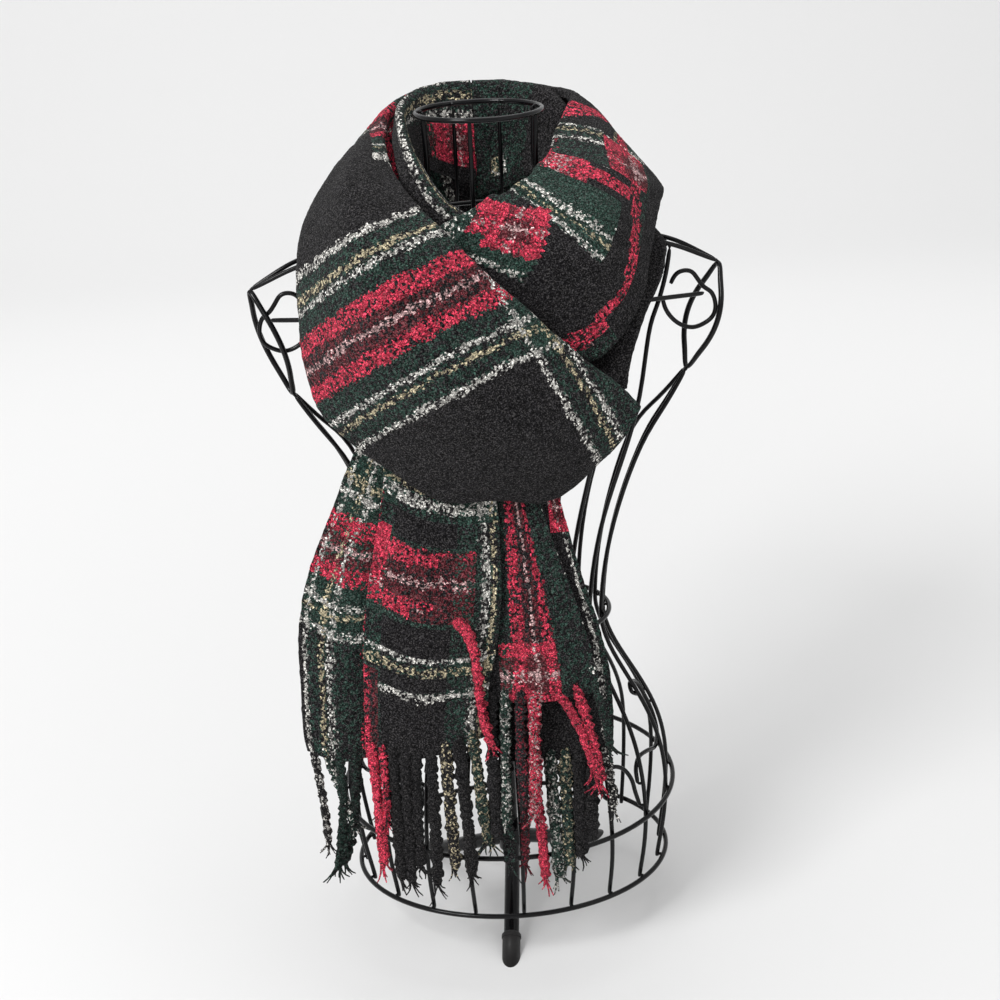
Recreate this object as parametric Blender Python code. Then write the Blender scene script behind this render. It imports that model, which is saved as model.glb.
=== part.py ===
"""Blanket scarf wound one and a half times round a wire dress form.

Units are metres, +Z is up and -Y is the front, where both tails hang.  The origin is on the
floor under the neck of the form.  Each stretch of cloth is a shell of doubled boucle: a table
gives one row for each section, and a row holds the control points across the cloth in
millimetres.  The form is steel wire, one object for each wire and ring.
"""

import math

import bmesh
import bpy
import numpy as np
from mathutils import Matrix, Vector

MM = 0.001

# Cloth
CLOTH_THICKNESS = 7 * MM  # two layers of 3.5 mm boucle
TAIL_THICKNESS = 4.5 * MM

# Wire form
RING_WIRE = 4.0 * MM
CAGE_WIRE = 3.2 * MM
CAP_WIRE = 5.0 * MM
TOUCH = 0.3 * MM  # what a painted wire keeps to the ring it is welded to
RING_POINTS = 32
SIDES = ((-1, "left"), (1, "right"))
RING_SAGITTA = 0.3 * MM  # how far the flats of the neck ring's wire dip inwards
WIRE_SIDES_RESOLUTION = 1
NECK_CENTRE_Y = -5 * MM
NECK_RADIUS = 50 * MM
NECK_HEIGHT = 721 * MM

# Stand
POLE_DIAMETER = 10 * MM
LEG_DIAMETER = 13.5 * MM
FOOT_DIAMETER = 16 * MM
FOOT_LENGTH = 22 * MM
HUB_HEIGHT = 72 * MM
HUB_LENGTH = 24 * MM
HUB_RADIUS = 13 * MM
POLE_TOP = 646 * MM

# Rings of the form: height, half width, half depth, centre towards the back.
RINGS = {
    "ring_neck": (721, 50.0, 50.0, -5),
    "ring_waist": (286, 94.0, 71.5, 0),
    "ring_hip": (114, 150.0, 141.0, 15),
    "ring_bottom": (52, 140.0, 113.0, -6),
}

# Sections of the cage inside its rings: height, half width, half depth, centre towards the back.
CAGE_SECTIONS = (
    (50, 134.5, 107.0, -6),
    (57, 135.5, 109.5, -4),
    (82, 141.0, 124.0, 4),
    (114, 145.5, 136.5, 15),
    (150, 142.5, 126.5, 11),
    (182, 133.5, 110.0, 8),
    (215, 118.0, 92.0, 4),
    (250, 99.0, 75.0, 1),
    (276, 90.0, 67.5, 0),
    (296, 89.5, 67.0, 0),
    (335, 94.0, 70.0, 0),
    (387, 107.0, 76.0, 0),
    (440, 128.0, 80.0, 0),
    (490, 146.0, 78.0, 0),
    (540, 157.0, 68.0, 0),
    (590, 150.0, 54.0, 0),
)


def clear_scene():
    for old in list(bpy.data.objects):
        bpy.data.objects.remove(old, do_unlink=True)


def make_material(name, colour, roughness, metallic):
    made = bpy.data.materials.new(name)
    made.use_nodes = True
    shader = made.node_tree.nodes["Principled BSDF"]
    shader.inputs["Base Color"].default_value = (*colour, 1.0)
    shader.inputs["Roughness"].default_value = roughness
    shader.inputs["Metallic"].default_value = metallic
    made.diffuse_color = (*colour, 1.0)
    return made


def smooth_rows(rows, count):
    """Reads count rows from the Catmull-Rom curve through the given rows."""
    rows = np.asarray(rows, float)
    padded = np.concatenate([[2 * rows[0] - rows[1]], rows, [2 * rows[-1] - rows[-2]]])
    made = []
    for place in np.linspace(0, len(rows) - 1, count):
        first = min(int(place), len(rows) - 2)
        t = place - first
        before, start, end, after = padded[first : first + 4]
        made.append(
            0.5
            * (
                2 * start
                + (end - before) * t
                + (2 * before - 5 * start + 4 * end - after) * t**2
                + (3 * start - before - 3 * end + after) * t**3
            )
        )
    return np.array(made)


def link(name, data, material):
    made = bpy.data.objects.new(name, data)
    bpy.context.scene.collection.objects.link(made)
    data.materials.append(material)
    return made


# ---------------------------------------------------------------------------- cloth


def with_lips(row, lip):
    """Adds a turned-back lip at each edge of a section, so that the cloth ends in a fold."""
    row = [np.asarray(point, float) for point in row]
    middle = row[len(row) // 2]
    chord = row[-1] - row[0]
    rise = middle - (row[0] + row[-1]) / 2
    rise = rise - chord * (rise @ chord) / (chord @ chord)
    back = -rise / max(np.linalg.norm(rise), 1e-6)
    inward = chord / np.linalg.norm(chord)
    first = row[0] + lip * (0.9 * back + 0.35 * inward)
    last = row[-1] + lip * (0.9 * back - 0.35 * inward)
    return [first, *row, last]


def cloth(name, material, table, along, across, thickness=CLOTH_THICKNESS, lip=9):
    """Makes one stretch of cloth as a closed shell on both sides of the table's surface."""
    sections = [with_lips(row, lip) if lip else row for row in table]
    width = len(sections[0])
    flat = smooth_rows([np.ravel(row) for row in sections], along)
    shape = bmesh.new()
    grid = []
    for row in flat.reshape(along, width, 3):
        grid.append([shape.verts.new(Vector(point) * MM) for point in smooth_rows(row, across)])
    for i in range(along - 1):
        for j in range(across - 1):
            shape.faces.new((grid[i][j], grid[i][j + 1], grid[i + 1][j + 1], grid[i + 1][j]))
    bmesh.ops.recalc_face_normals(shape, faces=shape.faces)
    data = bpy.data.meshes.new(name)
    shape.to_mesh(data)
    shape.free()
    data.shade_smooth()
    made = link(name, data, material)
    shell = made.modifiers.new("wall", "SOLIDIFY")
    shell.thickness = thickness
    shell.offset = 0
    return made


# Rows run from the tip at the front right, over the left shoulder, to the middle of the back.
# Columns: upper edge, crown, lower edge, each x, y, z in millimetres.
FRONT_LOOP = (
    ((107, -111, 500), (97, -120, 488), (82, -113, 468)),
    ((86, -119, 521), (62, -134, 484), (39, -119, 438)),
    ((61, -124, 542), (28, -146, 497), (-3, -123, 443)),
    ((38, -127, 563), (-7, -152, 514), (-45, -124, 446)),
    ((20, -129, 582), (-37, -155, 536), (-80, -120, 469)),
    ((2, -128, 599), (-58, -153, 558), (-110, -112, 492)),
    ((-18, -125, 619), (-79, -149, 582), (-133, -104, 517)),
    ((-39, -114, 643), (-93, -140, 615), (-143, -95, 551)),
    ((-60, -90, 664), (-104, -117, 648), (-146, -77, 589)),
    ((-75, -52, 684), (-108, -76, 680), (-141, -50, 640)),
    ((-79, -12, 699), (-99, -20, 696), (-123, -10, 668)),
    ((-78, 22, 706), (-99, 22, 690), (-119, 26, 636)),
    ((-75, 56, 712), (-100, 72, 674), (-107, 77, 604)),
    ((-50, 95, 720), (-68, 120, 678), (-70, 119, 598)),
    ((-22, 108, 722), (-32, 136, 677), (-33, 131, 596)),
    ((-0.7, 110, 722), (-0.7, 139, 677), (-0.7, 134, 596)),
)

# Rows run from under the front loop, over the right shoulder, to the middle of the back.
# Columns: inner edge, crown, outer edge.
CROSSING = (
    ((-38, -92, 644), (-26, -98, 616), (2, -92, 566)),
    ((-12, -88, 654), (6, -101, 612), (38, -99, 550)),
    ((1, -81, 659), (31, -104, 612), (69, -100, 545)),
    ((13, -76, 661), (55, -102, 617), (92, -96, 560)),
    ((27, -68, 668), (77, -98, 632), (112, -84, 588)),
    ((41, -57, 674), (88, -84, 651), (122, -64, 615)),
    ((56, -36, 686), (96, -55, 672), (133, -32, 640)),
    ((65, -6, 700), (97, -14, 692), (140, 6, 654)),
    ((78, 26, 713), (105, 28, 698), (132, 36, 660)),
    ((84, 58, 719), (105, 69, 692), (114, 79, 634)),
    ((64, 89, 720), (88, 110, 680), (92, 112, 604)),
    ((32, 105, 722), (44, 134, 677), (46, 129, 597)),
    ((0.7, 110, 722), (0.7, 139, 677), (0.7, 134, 596)),
)

# Rows run from under the tip of the front loop, under the crossing, to the middle of the back.
# Columns: inner edge, crown, outer edge.
RIGHT_LOOP = (
    ((70, -84, 500), (86, -92, 506), (98, -94, 512)),
    ((74, -80, 524), (90, -87, 530), (103, -89, 535)),
    ((79, -74, 552), (99, -81, 555), (113, -78, 560)),
    ((84, -62, 582), (108, -66, 582), (129, -60, 585)),
    ((90, -46, 612), (114, -44, 606), (137, -43, 602)),
    ((86, -27, 638), (108, -26, 632), (139, -27, 616)),
    ((76, 2, 656), (98, 6, 657), (124, 12, 630)),
    ((62, 24, 672), (80, 34, 698), (102, 44, 650)),
    ((48, 46, 668), (62, 56, 723), (80, 70, 676)),
    ((24, 62, 656), (32, 76, 729), (42, 92, 686)),
    ((0.7, 66, 650), (0.7, 80, 730), (0.7, 97, 690)),
)

# Rows run from under the crossing at the front, up round the left of the neck, to the middle of
# the back.  Columns: inner edge, crown, outer edge.
NECK_ROLL = (
    ((4, -64, 628), (-6, -71, 625), (-18, -72, 606)),
    ((-12, -66, 646), (-21, -75, 648), (-36, -76, 632)),
    ((-27, -61, 655), (-38, -71, 664), (-52, -70, 650)),
    ((-39, -50, 668), (-50, -58, 682), (-62, -55, 670)),
    ((-50, -32, 682), (-58, -36, 700), (-66, -33, 690)),
    ((-57, -4, 692), (-61, -5, 717), (-67, -4, 703)),
    ((-54, 26, 684), (-59, 29, 723), (-64, 34, 702)),
    ((-38, 50, 668), (-45, 59, 728), (-54, 70, 698)),
    ((-18, 62, 656), (-24, 75, 730), (-32, 90, 690)),
    ((-0.7, 66, 650), (-0.7, 80, 730), (-0.7, 97, 690)),
)

# Rows run down from behind the front loop.  Columns: left edge, middle, right edge.
TAIL_LEFT_BACK = (
    ((-98, -97, 510), (-78, -104, 500), (-58, -108, 496)),
    ((-117, -93, 472), (-96, -96.6, 456), (-68, -94.5, 450)),
    ((-131, -98, 442), (-106, -104, 426), (-76, -100, 424)),
    ((-148, -102, 406), (-120, -109, 392), (-84, -104, 388)),
    ((-163, -106, 370), (-132, -114, 354), (-92, -109, 352)),
    ((-171, -110, 330), (-140, -118, 314), (-98, -114, 312)),
    ((-173, -115, 290), (-142, -123, 275), (-102, -119, 276)),
    ((-174, -120, 250), (-144, -127, 240), (-106, -124, 242)),
    ((-172, -123, 230), (-145, -130, 222), (-108, -126, 224)),
)
TAIL_LEFT_FRONT = (
    ((-60, -135, 556), (-38, -143, 546), (-12, -140, 540)),
    ((-76, -116, 514), (-47, -127, 500), (-13, -126, 492)),
    ((-92, -103.2, 472), (-56, -109.3, 452), (-8, -106, 446)),
    ((-96, -106, 442), (-57, -117.6, 422), (-6, -112, 416)),
    ((-104, -111, 408), (-62, -122, 390), (-6, -118, 384)),
    ((-112, -117, 374), (-68, -128, 356), (-8, -123, 350)),
    ((-118, -122, 338), (-73, -133, 320), (-13, -128, 316)),
    ((-121, -127, 300), (-77, -138, 284), (-20, -131, 286)),
    ((-123, -132, 260), (-80, -142, 248), (-25, -134.5, 256)),
    ((-124, -135, 230), (-81, -144, 226), (-26, -136.5, 238)),
)
TAIL_RIGHT_BACK = (
    ((4, -79.5, 578), (20, -83.5, 571), (34, -86, 564)),
    ((4, -80.6, 564), (20, -84.8, 556), (34, -87, 550)),
    ((3, -86, 520), (20, -89, 516), (36, -86, 514)),
    ((2, -89, 470), (24, -92, 466), (40, -89, 464)),
    ((0, -93, 436), (28, -96, 432), (44, -92, 428)),
    ((-3, -97, 398), (28, -100, 396), (52, -96, 394)),
    ((-6, -102, 360), (30, -105, 358), (61, -101, 356)),
    ((-10, -107, 320), (32, -110, 318), (72, -106, 318)),
    ((-14, -112, 280), (34, -115, 278), (79, -110, 280)),
    ((-16, -117, 240), (35, -120, 238), (81, -114, 240)),
    ((-16, -121, 206), (36, -124, 204), (80, -118, 206)),
)
TAIL_RIGHT_FRONT = (
    ((-8, -118, 520), (6, -122, 518), (18, -119, 516)),
    ((-10, -101, 470), (8, -107, 468), (22, -104, 466)),
    ((-11, -98.7, 436), (10, -105.2, 432), (27, -101.2, 430)),
    ((-14, -104.4, 402), (13, -111.4, 400), (36, -105.2, 396)),
    ((-18, -110.2, 366), (16, -117.2, 366), (47, -111.2, 362)),
    ((-22, -116, 330), (19, -124, 330), (58, -117, 326)),
    ((-24, -122, 292), (22, -130, 292), (66, -122, 290)),
    ((-24, -127, 266), (23, -134, 264), (69, -126, 266)),
)


def make_scarf(cloth_material):
    cloth("scarf_front_loop", cloth_material, FRONT_LOOP, 32, 12, lip=6)
    cloth("scarf_crossing", cloth_material, CROSSING, 25, 11, lip=6)
    cloth("scarf_right_loop", cloth_material, RIGHT_LOOP, 21, 9, lip=4)
    cloth("scarf_neck_roll", cloth_material, NECK_ROLL, 22, 8, thickness=6 * MM, lip=0)
    tails = {
        "scarf_tail_left_back": TAIL_LEFT_BACK,
        "scarf_tail_left_front": TAIL_LEFT_FRONT,
        "scarf_tail_right_back": TAIL_RIGHT_BACK,
        "scarf_tail_right_front": TAIL_RIGHT_FRONT,
    }
    for name, table in tails.items():
        cloth(name, cloth_material, table, 13, 8, thickness=TAIL_THICKNESS, lip=0)


# ---------------------------------------------------------------------------- fringe

STRIP_HEIGHT = 5 * MM
HEM_GAP = 0.9 * MM  # the hem is not quite straight, so 0.3 mm is left where they come closest
STRAND_STEPS = 5
STRAND_ROOT = 0.45  # a root's half width over the strand's width

# A row for each strand: place along the hem, sideways shift halfway down, sideways shift of the
# tip, length and width in millimetres.
LEFT_BACK_STRANDS = (
    (0.07, 5, 7, 94, 7),
    (0.27, 9, 19, 72, 8),
    (0.47, 0, -9, 112, 8),
    (0.66, -3, -17, 108, 9),
    (0.86, 1, 3, 60, 7),
)
LEFT_FRONT_STRANDS = (
    (0.055, 2, 3, 104, 9),
    (0.165, 1, -1, 60, 8),
    (0.27, 1, 4, 116, 9),
    (0.38, 0, 3, 118, 9),
    (0.485, -1, 1, 106, 9),
    (0.59, 1, -1, 124, 9),
    (0.695, 1, 1, 122, 9),
    (0.80, 1, 1, 138, 9),
    (0.905, 1, 0, 96, 8),
)
RIGHT_FRONT_STRANDS = (
    (0.05, 1, 2, 128, 8),
    (0.17, 2, 1, 124, 9),
    (0.295, -1, 1, 96, 8),
    (0.42, 1, -1, 104, 9),
    (0.60, 19, 29, 66, 8),
    (0.78, 11, 17, 78, 9),
    (0.945, 7, 11, 48, 7),
)
RIGHT_BACK_STRANDS = (
    (0.05, -1, 1, 92, 8),
    (0.17, 1, 0, 96, 8),
    (0.29, 1, 4, 112, 9),
    (0.41, 5, 9, 112, 9),
    (0.54, 1, 3, 100, 9),
    (0.67, -1, 0, 82, 9),
    (0.80, 1, 3, 78, 9),
    (0.93, 2, 4, 50, 8),
)
# For each fringe: its tail, its strands and the y that the strands hang at, clear of the hips.
FRINGES = {
    "fringe_left_back": (TAIL_LEFT_BACK, LEFT_BACK_STRANDS, -122),
    "fringe_left_front": (TAIL_LEFT_FRONT, LEFT_FRONT_STRANDS, -146),
    "fringe_right_back": (TAIL_RIGHT_BACK, RIGHT_BACK_STRANDS, -133),
    "fringe_right_front": (TAIL_RIGHT_FRONT, RIGHT_FRONT_STRANDS, -146),
}


def curve_at(points, place):
    """The point at a place from 0 to 1 along a smooth curve through the points."""
    return smooth_rows(points, 101)[int(round(place * 100))]


def make_fringe(name, material, table, strands, hang_y):
    """Makes a strip just below a tail's hem and pulls a tassel down from it for each strand."""
    hem = np.array(table[-1]) * MM
    fall = (hem - np.array(table[-2]) * MM).mean(axis=0)
    fall /= np.linalg.norm(fall)
    span = np.linalg.norm(hem[-1] - hem[0])
    edges = [0.0]
    for place, _, _, _, width in strands:
        half = STRAND_ROOT * width * MM / span
        edges += [place - half, place + half]
    edges.append(1.0)
    half_depth = Vector((0, TAIL_THICKNESS / 2 + 1 * MM, 0))
    shape = bmesh.new()
    rings = []
    for place in edges:
        top = Vector(curve_at(hem, place) + fall * HEM_GAP)
        low = top + Vector(fall) * STRIP_HEIGHT
        corners = (top - half_depth, top + half_depth, low + half_depth, low - half_depth)
        rings.append([shape.verts.new(corner) for corner in corners])
    roots = []
    for i, (a, b) in enumerate(zip(rings, rings[1:])):
        for side in range(4):
            other = (side + 1) % 4
            face = shape.faces.new((a[side], a[other], b[other], b[side]))
            if side == 2 and i % 2:
                roots.append(face)
    shape.faces.new(rings[0])
    shape.faces.new(rings[-1])
    bmesh.ops.recalc_face_normals(shape, faces=shape.faces)
    for root, strand in zip(roots, strands):
        pull_strand(shape, root, hang_y * MM, *strand)
    data = bpy.data.meshes.new(name)
    shape.to_mesh(data)
    shape.free()
    return link(name, data, material)


def pull_strand(shape, face, hang_y, _place, middle_shift, tip_shift, length, width):
    """Extrudes a root downwards into a four-sided tassel that bends sideways."""
    start = face.calc_center_median()
    for step in range(1, STRAND_STEPS + 1):
        part = step / STRAND_STEPS
        bend = 4 * part * (1 - part)
        sideways = tip_shift * part + (middle_shift - tip_shift / 2) * bend
        forwards = (hang_y - start.y) * min(1.0, 1.6 * part)
        centre = start + Vector((sideways * MM, forwards, -part * length * MM))
        face = bmesh.ops.extrude_discrete_faces(shape, faces=[face])["faces"][0]
        place_square(face, centre, width * MM / 2 * (1 - 0.3 * part**3))


def place_square(face, centre, half):
    """Puts the four corners of a face on a level square round a centre."""
    middle = face.calc_center_median()
    for vert in face.verts:
        side = vert.co - middle
        vert.co = centre + Vector((math.copysign(half, side.x), math.copysign(half * 0.8, side.y), 0))


# The loose tassel that lies on the left tail: x, y, z down its length in millimetres.
LOOSE_TASSEL = (
    (-47, -137.4, 344),
    (-40, -139.4, 338),
    (-33, -139.4, 322),
    (-30, -140.4, 294),
    (-28, -142.4, 262),
    (-22, -144.4, 232),
)
LOOSE_TASSEL_DIAMETER = 9 * MM


def make_loose_tassel(material):
    points = np.array(LOOSE_TASSEL) * MM
    wire("tassel_loose", points, LOOSE_TASSEL_DIAMETER, material, count=9)


# ---------------------------------------------------------------------------- wire form


def wire(name, points, diameter, material, count=None, cyclic=False):
    """Makes a round wire along a smooth curve through the points, which are in metres."""
    if count:
        points = smooth_rows(points, count)
    curve = bpy.data.curves.new(name, "CURVE")
    curve.dimensions = "3D"
    line = curve.splines.new("POLY")
    line.points.add(len(points) - 1)
    for place, point in zip(line.points, points):
        place.co = (*point, 1)
    line.use_cyclic_u = cyclic
    curve.bevel_depth = diameter / 2
    curve.bevel_resolution = WIRE_SIDES_RESOLUTION
    curve.use_fill_caps = not cyclic
    return link(name, curve, material)


def ellipse_point(section, angle):
    """A point of a level ellipse in metres, at an angle from the front towards the right."""
    height, half_width, half_depth, centre = section
    return (
        half_width * math.sin(angle) * MM,
        (centre - half_depth * math.cos(angle)) * MM,
        height * MM,
    )


def make_rings(material):
    turns = [math.tau * i / RING_POINTS for i in range(RING_POINTS)]
    for name, section in RINGS.items():
        points = [ellipse_point(section, angle) for angle in turns]
        wire(name, points, RING_WIRE, material, cyclic=True)


def cage_point(height, angle):
    """A point of the cage, inside its rings, at any height, in metres."""
    heights = [section[0] for section in CAGE_SECTIONS]
    columns = [
        np.interp(height, heights, [section[k] for section in CAGE_SECTIONS]) for k in (1, 2, 3)
    ]
    return ellipse_point((height, *columns), angle)


# Armhole cap: a leaf of wire from the shoulder's end to the underarm, in millimetres.
CAP_TOP = (192, 0, 586)
CAP_LOW = (165, 0, 498)
CAP_BULGE = 20
CAP_TURN = math.radians(28)  # both leaves are turned this far towards the right
CAP_POINTS = 9

# Scroll in the cap: how far inwards of the cap's top and how far above it, in millimetres.
CAP_SCROLL = (
    (42, -12),
    (38, -5),
    (32, -2),
    (25, -3),
    (20, -9),
    (15, -16),
    (8, -22),
    (5, -32),
    (7, -41),
    (14, -47),
    (25, -50),
    (37, -45),
    (46, -34),
    (49, -22),
)
CAP_SCROLL_Y = {"left": -6.3, "right": -13}

# Yoke: a wire across the chest from cap to cap, x on the right side, y, z in millimetres.
YOKE = ((176, -20, 566), (150, -33, 568), (100, -51, 570), (0, -70, 571))


def mirrored(point, side):
    """Puts a millimetre point of the right side on either side, in metres."""
    x, y, z = point
    return (side * x * MM, y * MM, z * MM)


def cap_arm(side, way):
    """Points down one arm of a cap, bulging to the front (-1) or the back (1)."""
    points = []
    for t in np.linspace(0, 1, CAP_POINTS):
        x, y, z = (a + (b - a) * t for a, b in zip(CAP_TOP, CAP_LOW))
        bulge = way * CAP_BULGE * math.sin(math.pi * t)
        x = side * x - bulge * math.sin(CAP_TURN)
        y += bulge * math.cos(CAP_TURN)
        points.append((x * MM, y * MM, z * MM))
    return points


def make_caps(material):
    for side, word in SIDES:
        leaf = cap_arm(side, -1)[:-1] + cap_arm(side, 1)[:0:-1]
        wire("cap_" + word, leaf, CAP_WIRE, material, cyclic=True)
        scroll = []
        for inwards, above in CAP_SCROLL:
            place = (CAP_TOP[0] - inwards, CAP_SCROLL_Y[word], CAP_TOP[2] + above)
            scroll.append(mirrored(place, side))
        wire("cap_scroll_" + word, scroll, CAGE_WIRE, material, count=21)
    half = [mirrored(point, 1) for point in YOKE]
    other = [mirrored(point, -1) for point in YOKE[-2::-1]]
    wire("yoke_wire", half + other, CAGE_WIRE, material, count=17)


# A row for each pair of upright wires: angle from the front in degrees, height in millimetres
# that it follows the cage to, and the points that it ends with, on the right side.
UPRIGHTS = (
    (0, 296, ()),
    (18, 296, ()),
    (36, 590, ((92, -27.5, 620),)),
    (54, 540, ((143, -24, 580), (150, -10.5, 603))),
    (72, 440, ((163.4, -3.1, 496.4),)),
    (90, 440, ((162.5, 0, 495.4),)),
    (108, 440, ((163.4, 3.1, 496.4),)),
    (126, 540, ((143, 26, 580), (150, 10, 605))),
    (144, 590, ((92, 35, 614),)),
    (162, 540, ((34, 58, 600), (20, 44, 624), (19, 41.4, 646))),
    (180, 296, ()),
)


# At the hips the uprights beside the front ones stand a few degrees nearer the front.
HIP_TURNED = (36, 54)
HIP_TURN_HEIGHTS = (50, 114, 150, 250)
HIP_TURNS = (-1.0, -2.7, -2.7, 0.0)


def upright_angle(degrees, height):
    """Where an upright stands at a height: its angle from the front, in radians."""
    if degrees in HIP_TURNED:
        degrees += np.interp(height, HIP_TURN_HEIGHTS, HIP_TURNS)
    return math.radians(degrees)


def make_uprights(material):
    """The upright wires: most run from the bottom ring to the armhole caps or the shoulders."""
    for degrees, top, ending in UPRIGHTS:
        for side, word in SIDES if degrees % 180 else SIDES[1:]:
            points = [
                ellipse_point(row, upright_angle(degrees, row[0]) * side)
                for row in CAGE_SECTIONS
                if row[0] <= top
            ]
            if ending:
                bend = [points[-1], *(mirrored(point, side) for point in ending)]
                points += list(smooth_rows(bend, 2 * len(ending) + 1))[1:]
            name = f"upright_{degrees:03d}_{word}" if degrees % 180 else f"upright_{degrees:03d}"
            wire(name, points, CAGE_WIRE, material)


# Shoulder wires, on the right side: x, y, z in millimetres.
SHOULDER_FRONT = ((190.0, -1.8, 588.2), (150, -8, 606), (100, -25, 621.5), (64, -20, 640))
SHOULDER_BACK = ((190.0, 1.8, 588.2), (150, 8, 608), (100, 30, 614), (64, 22, 632))
NECK_SPREAD = math.radians(14)  # the shoulder wires reach the neck ring this far from its side

# Wires that stand inside the neck ring: x, way from the middle (-1 front, 1 back), and what
# each one bends to below the neck.
NECK_WIRES = {
    "neck_wire_front": (-10, -1, ((-10, -58, 604), (-9, -66.2, 566))),
    "neck_wire_back_left": (-18, 1, ()),
    "neck_wire_back_right": (19, 1, ()),
}
NECK_WIRE_FOOT = 632

# Bar that carries the neck on the pole, from one front shoulder wire to the other.
NECK_BAR = ((-53.9, -15.3, 647.6), (-25, -5, 648), (0, -1, 648), (25, -5, 648), (53.9, -15.3, 647.6))


def make_shoulders(material):
    """Wires from the caps over the shoulders and up to the neck ring."""
    height = NECK_HEIGHT / MM
    centre = NECK_CENTRE_Y / MM
    inner = (NECK_RADIUS - RING_WIRE / 2 - CAGE_WIRE / 2 - RING_SAGITTA - TOUCH) / MM
    for side, word in SIDES:
        for run, way, place in ((SHOULDER_FRONT, -1, "front"), (SHOULDER_BACK, 1, "back")):
            x = inner * math.cos(NECK_SPREAD)
            y = centre + way * inner * math.sin(NECK_SPREAD)
            points = [mirrored(p, side) for p in (*run, (x, y, 668), (x, y, height + 1))]
            wire(f"shoulder_{place}_{word}", points, CAGE_WIRE, material, count=13)
    for name, (x, way, ending) in NECK_WIRES.items():
        y = centre + way * math.sqrt(inner**2 - x**2)
        run = [(x, y, height + 1), (x, y, NECK_WIRE_FOOT), *ending]
        wire(name, np.array(run) * MM, CAGE_WIRE, material, count=4 * len(run) - 4)
    wire("neck_bar", np.array(NECK_BAR) * MM, CAGE_WIRE, material, count=9)


# Scrolls on the hips: angle from the front in degrees and height in millimetres.
HIP_SCROLL_FRONT = (
    (37.6, 154), (38.2, 147), (34.8, 143), (32, 150), (32, 159), (35, 165.5), (40, 167),
    (44.6, 161), (47.2, 150), (48.6, 137), (50.6, 122),
)
HIP_SCROLL_SIDE = (
    (77, 203), (71, 211), (74.5, 217), (85, 209), (88, 192), (88, 174), (82, 161), (71, 157),
    (62, 162), (55, 163), (51.2, 156), (50.6, 143),
)
HIP_SCROLL_INSET = 3.9


def make_hip_scrolls(material):
    for side, word in SIDES:
        for run, place in ((HIP_SCROLL_FRONT, "front"), (HIP_SCROLL_SIDE, "side")):
            points = []
            for degrees, height in run:
                point = Vector(cage_point(height, math.radians(degrees) * side))
                flat = Vector((point.x, point.y, 0))
                points.append(point - flat.normalized() * HIP_SCROLL_INSET * MM)
            wire(f"hip_scroll_{place}_{word}", points, CAGE_WIRE, material, count=2 * len(run) + 4)


# Legs of the tripod: angle from the front in degrees and reach of the foot in metres.
LEGS = ((-7, 104 * MM), (135, 115 * MM), (-135, 115 * MM))


def cylinder_between(shape, start, end, radius, sides=12):
    """Adds a closed cylinder from one point to another."""
    start, end = Vector(start), Vector(end)
    axis = end - start
    place = Matrix.Translation((start + end) / 2) @ axis.to_track_quat("Z", "Y").to_matrix().to_4x4()
    bmesh.ops.create_cone(
        shape,
        cap_ends=True,
        segments=sides,
        radius1=radius,
        radius2=radius,
        depth=axis.length,
        matrix=place,
    )


def solid(name, shape, material):
    bmesh.ops.recalc_face_normals(shape, faces=shape.faces)
    data = bpy.data.meshes.new(name)
    shape.to_mesh(data)
    shape.free()
    data.shade_smooth()
    data.set_sharp_from_angle(angle=math.radians(40))
    return link(name, data, material)


def make_stand(material, rubber):
    """A pole up to a bar under the neck, and a tripod whose feet are cut level with the floor."""
    pole = bmesh.new()
    cylinder_between(pole, (0, 0, HUB_HEIGHT + TOUCH), (0, 0, POLE_TOP), POLE_DIAMETER / 2)
    solid("pole", pole, material)
    hub = bmesh.new()
    cylinder_between(hub, (0, 0, HUB_HEIGHT - HUB_LENGTH), (0, 0, HUB_HEIGHT), HUB_RADIUS, 16)
    tripod = solid("tripod", hub, material)
    for number, (degrees, reach) in enumerate(LEGS):
        angle = math.radians(degrees)
        top = Vector((0, 0, HUB_HEIGHT - HUB_LENGTH / 2))
        floor_point = reach * Vector((math.sin(angle), -math.cos(angle), 0))
        along = (floor_point - top).normalized()
        cap_start = floor_point - along * FOOT_LENGTH
        leg = bmesh.new()
        cylinder_between(leg, top, cap_start - along * TOUCH, LEG_DIAMETER / 2)
        join(tripod, solid(f"leg_{number}", leg, material))
        foot = bmesh.new()
        cylinder_between(foot, cap_start, floor_point + along * FOOT_LENGTH, FOOT_DIAMETER / 2)
        level_cut(foot)
        solid(f"foot_{number + 1}", foot, rubber)


def join(target, other):
    """Unites another object with the target and hides it."""
    union = target.modifiers.new("join_" + other.name, "BOOLEAN")
    union.operation = "UNION"
    union.object = other
    other.hide_render = True
    other.display_type = "WIRE"


def level_cut(shape):
    """Cuts away what lies below the floor and closes the cut with a flat face."""
    parts = shape.verts[:] + shape.edges[:] + shape.faces[:]
    cut = bmesh.ops.bisect_plane(
        shape, geom=parts, plane_co=(0, 0, 0), plane_no=(0, 0, -1), clear_outer=True
    )
    rim = [item for item in cut["geom_cut"] if isinstance(item, bmesh.types.BMEdge)]
    bmesh.ops.contextual_create(shape, geom=rim)


def build():
    clear_scene()
    boucle = make_material("boucle_tartan", (0.05, 0.05, 0.055), 0.95, 0.0)
    enamel = make_material("black_enamel", (0.012, 0.012, 0.013), 0.3, 0.6)
    rubber = make_material("black_rubber", (0.02, 0.02, 0.02), 0.8, 0.0)
    make_scarf(boucle)
    for name, row in FRINGES.items():
        make_fringe(name, boucle, *row)
    make_loose_tassel(boucle)
    make_rings(enamel)
    make_caps(enamel)
    make_uprights(enamel)
    make_shoulders(enamel)
    make_hip_scrolls(enamel)
    make_stand(enamel, rubber)


build()
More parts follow.
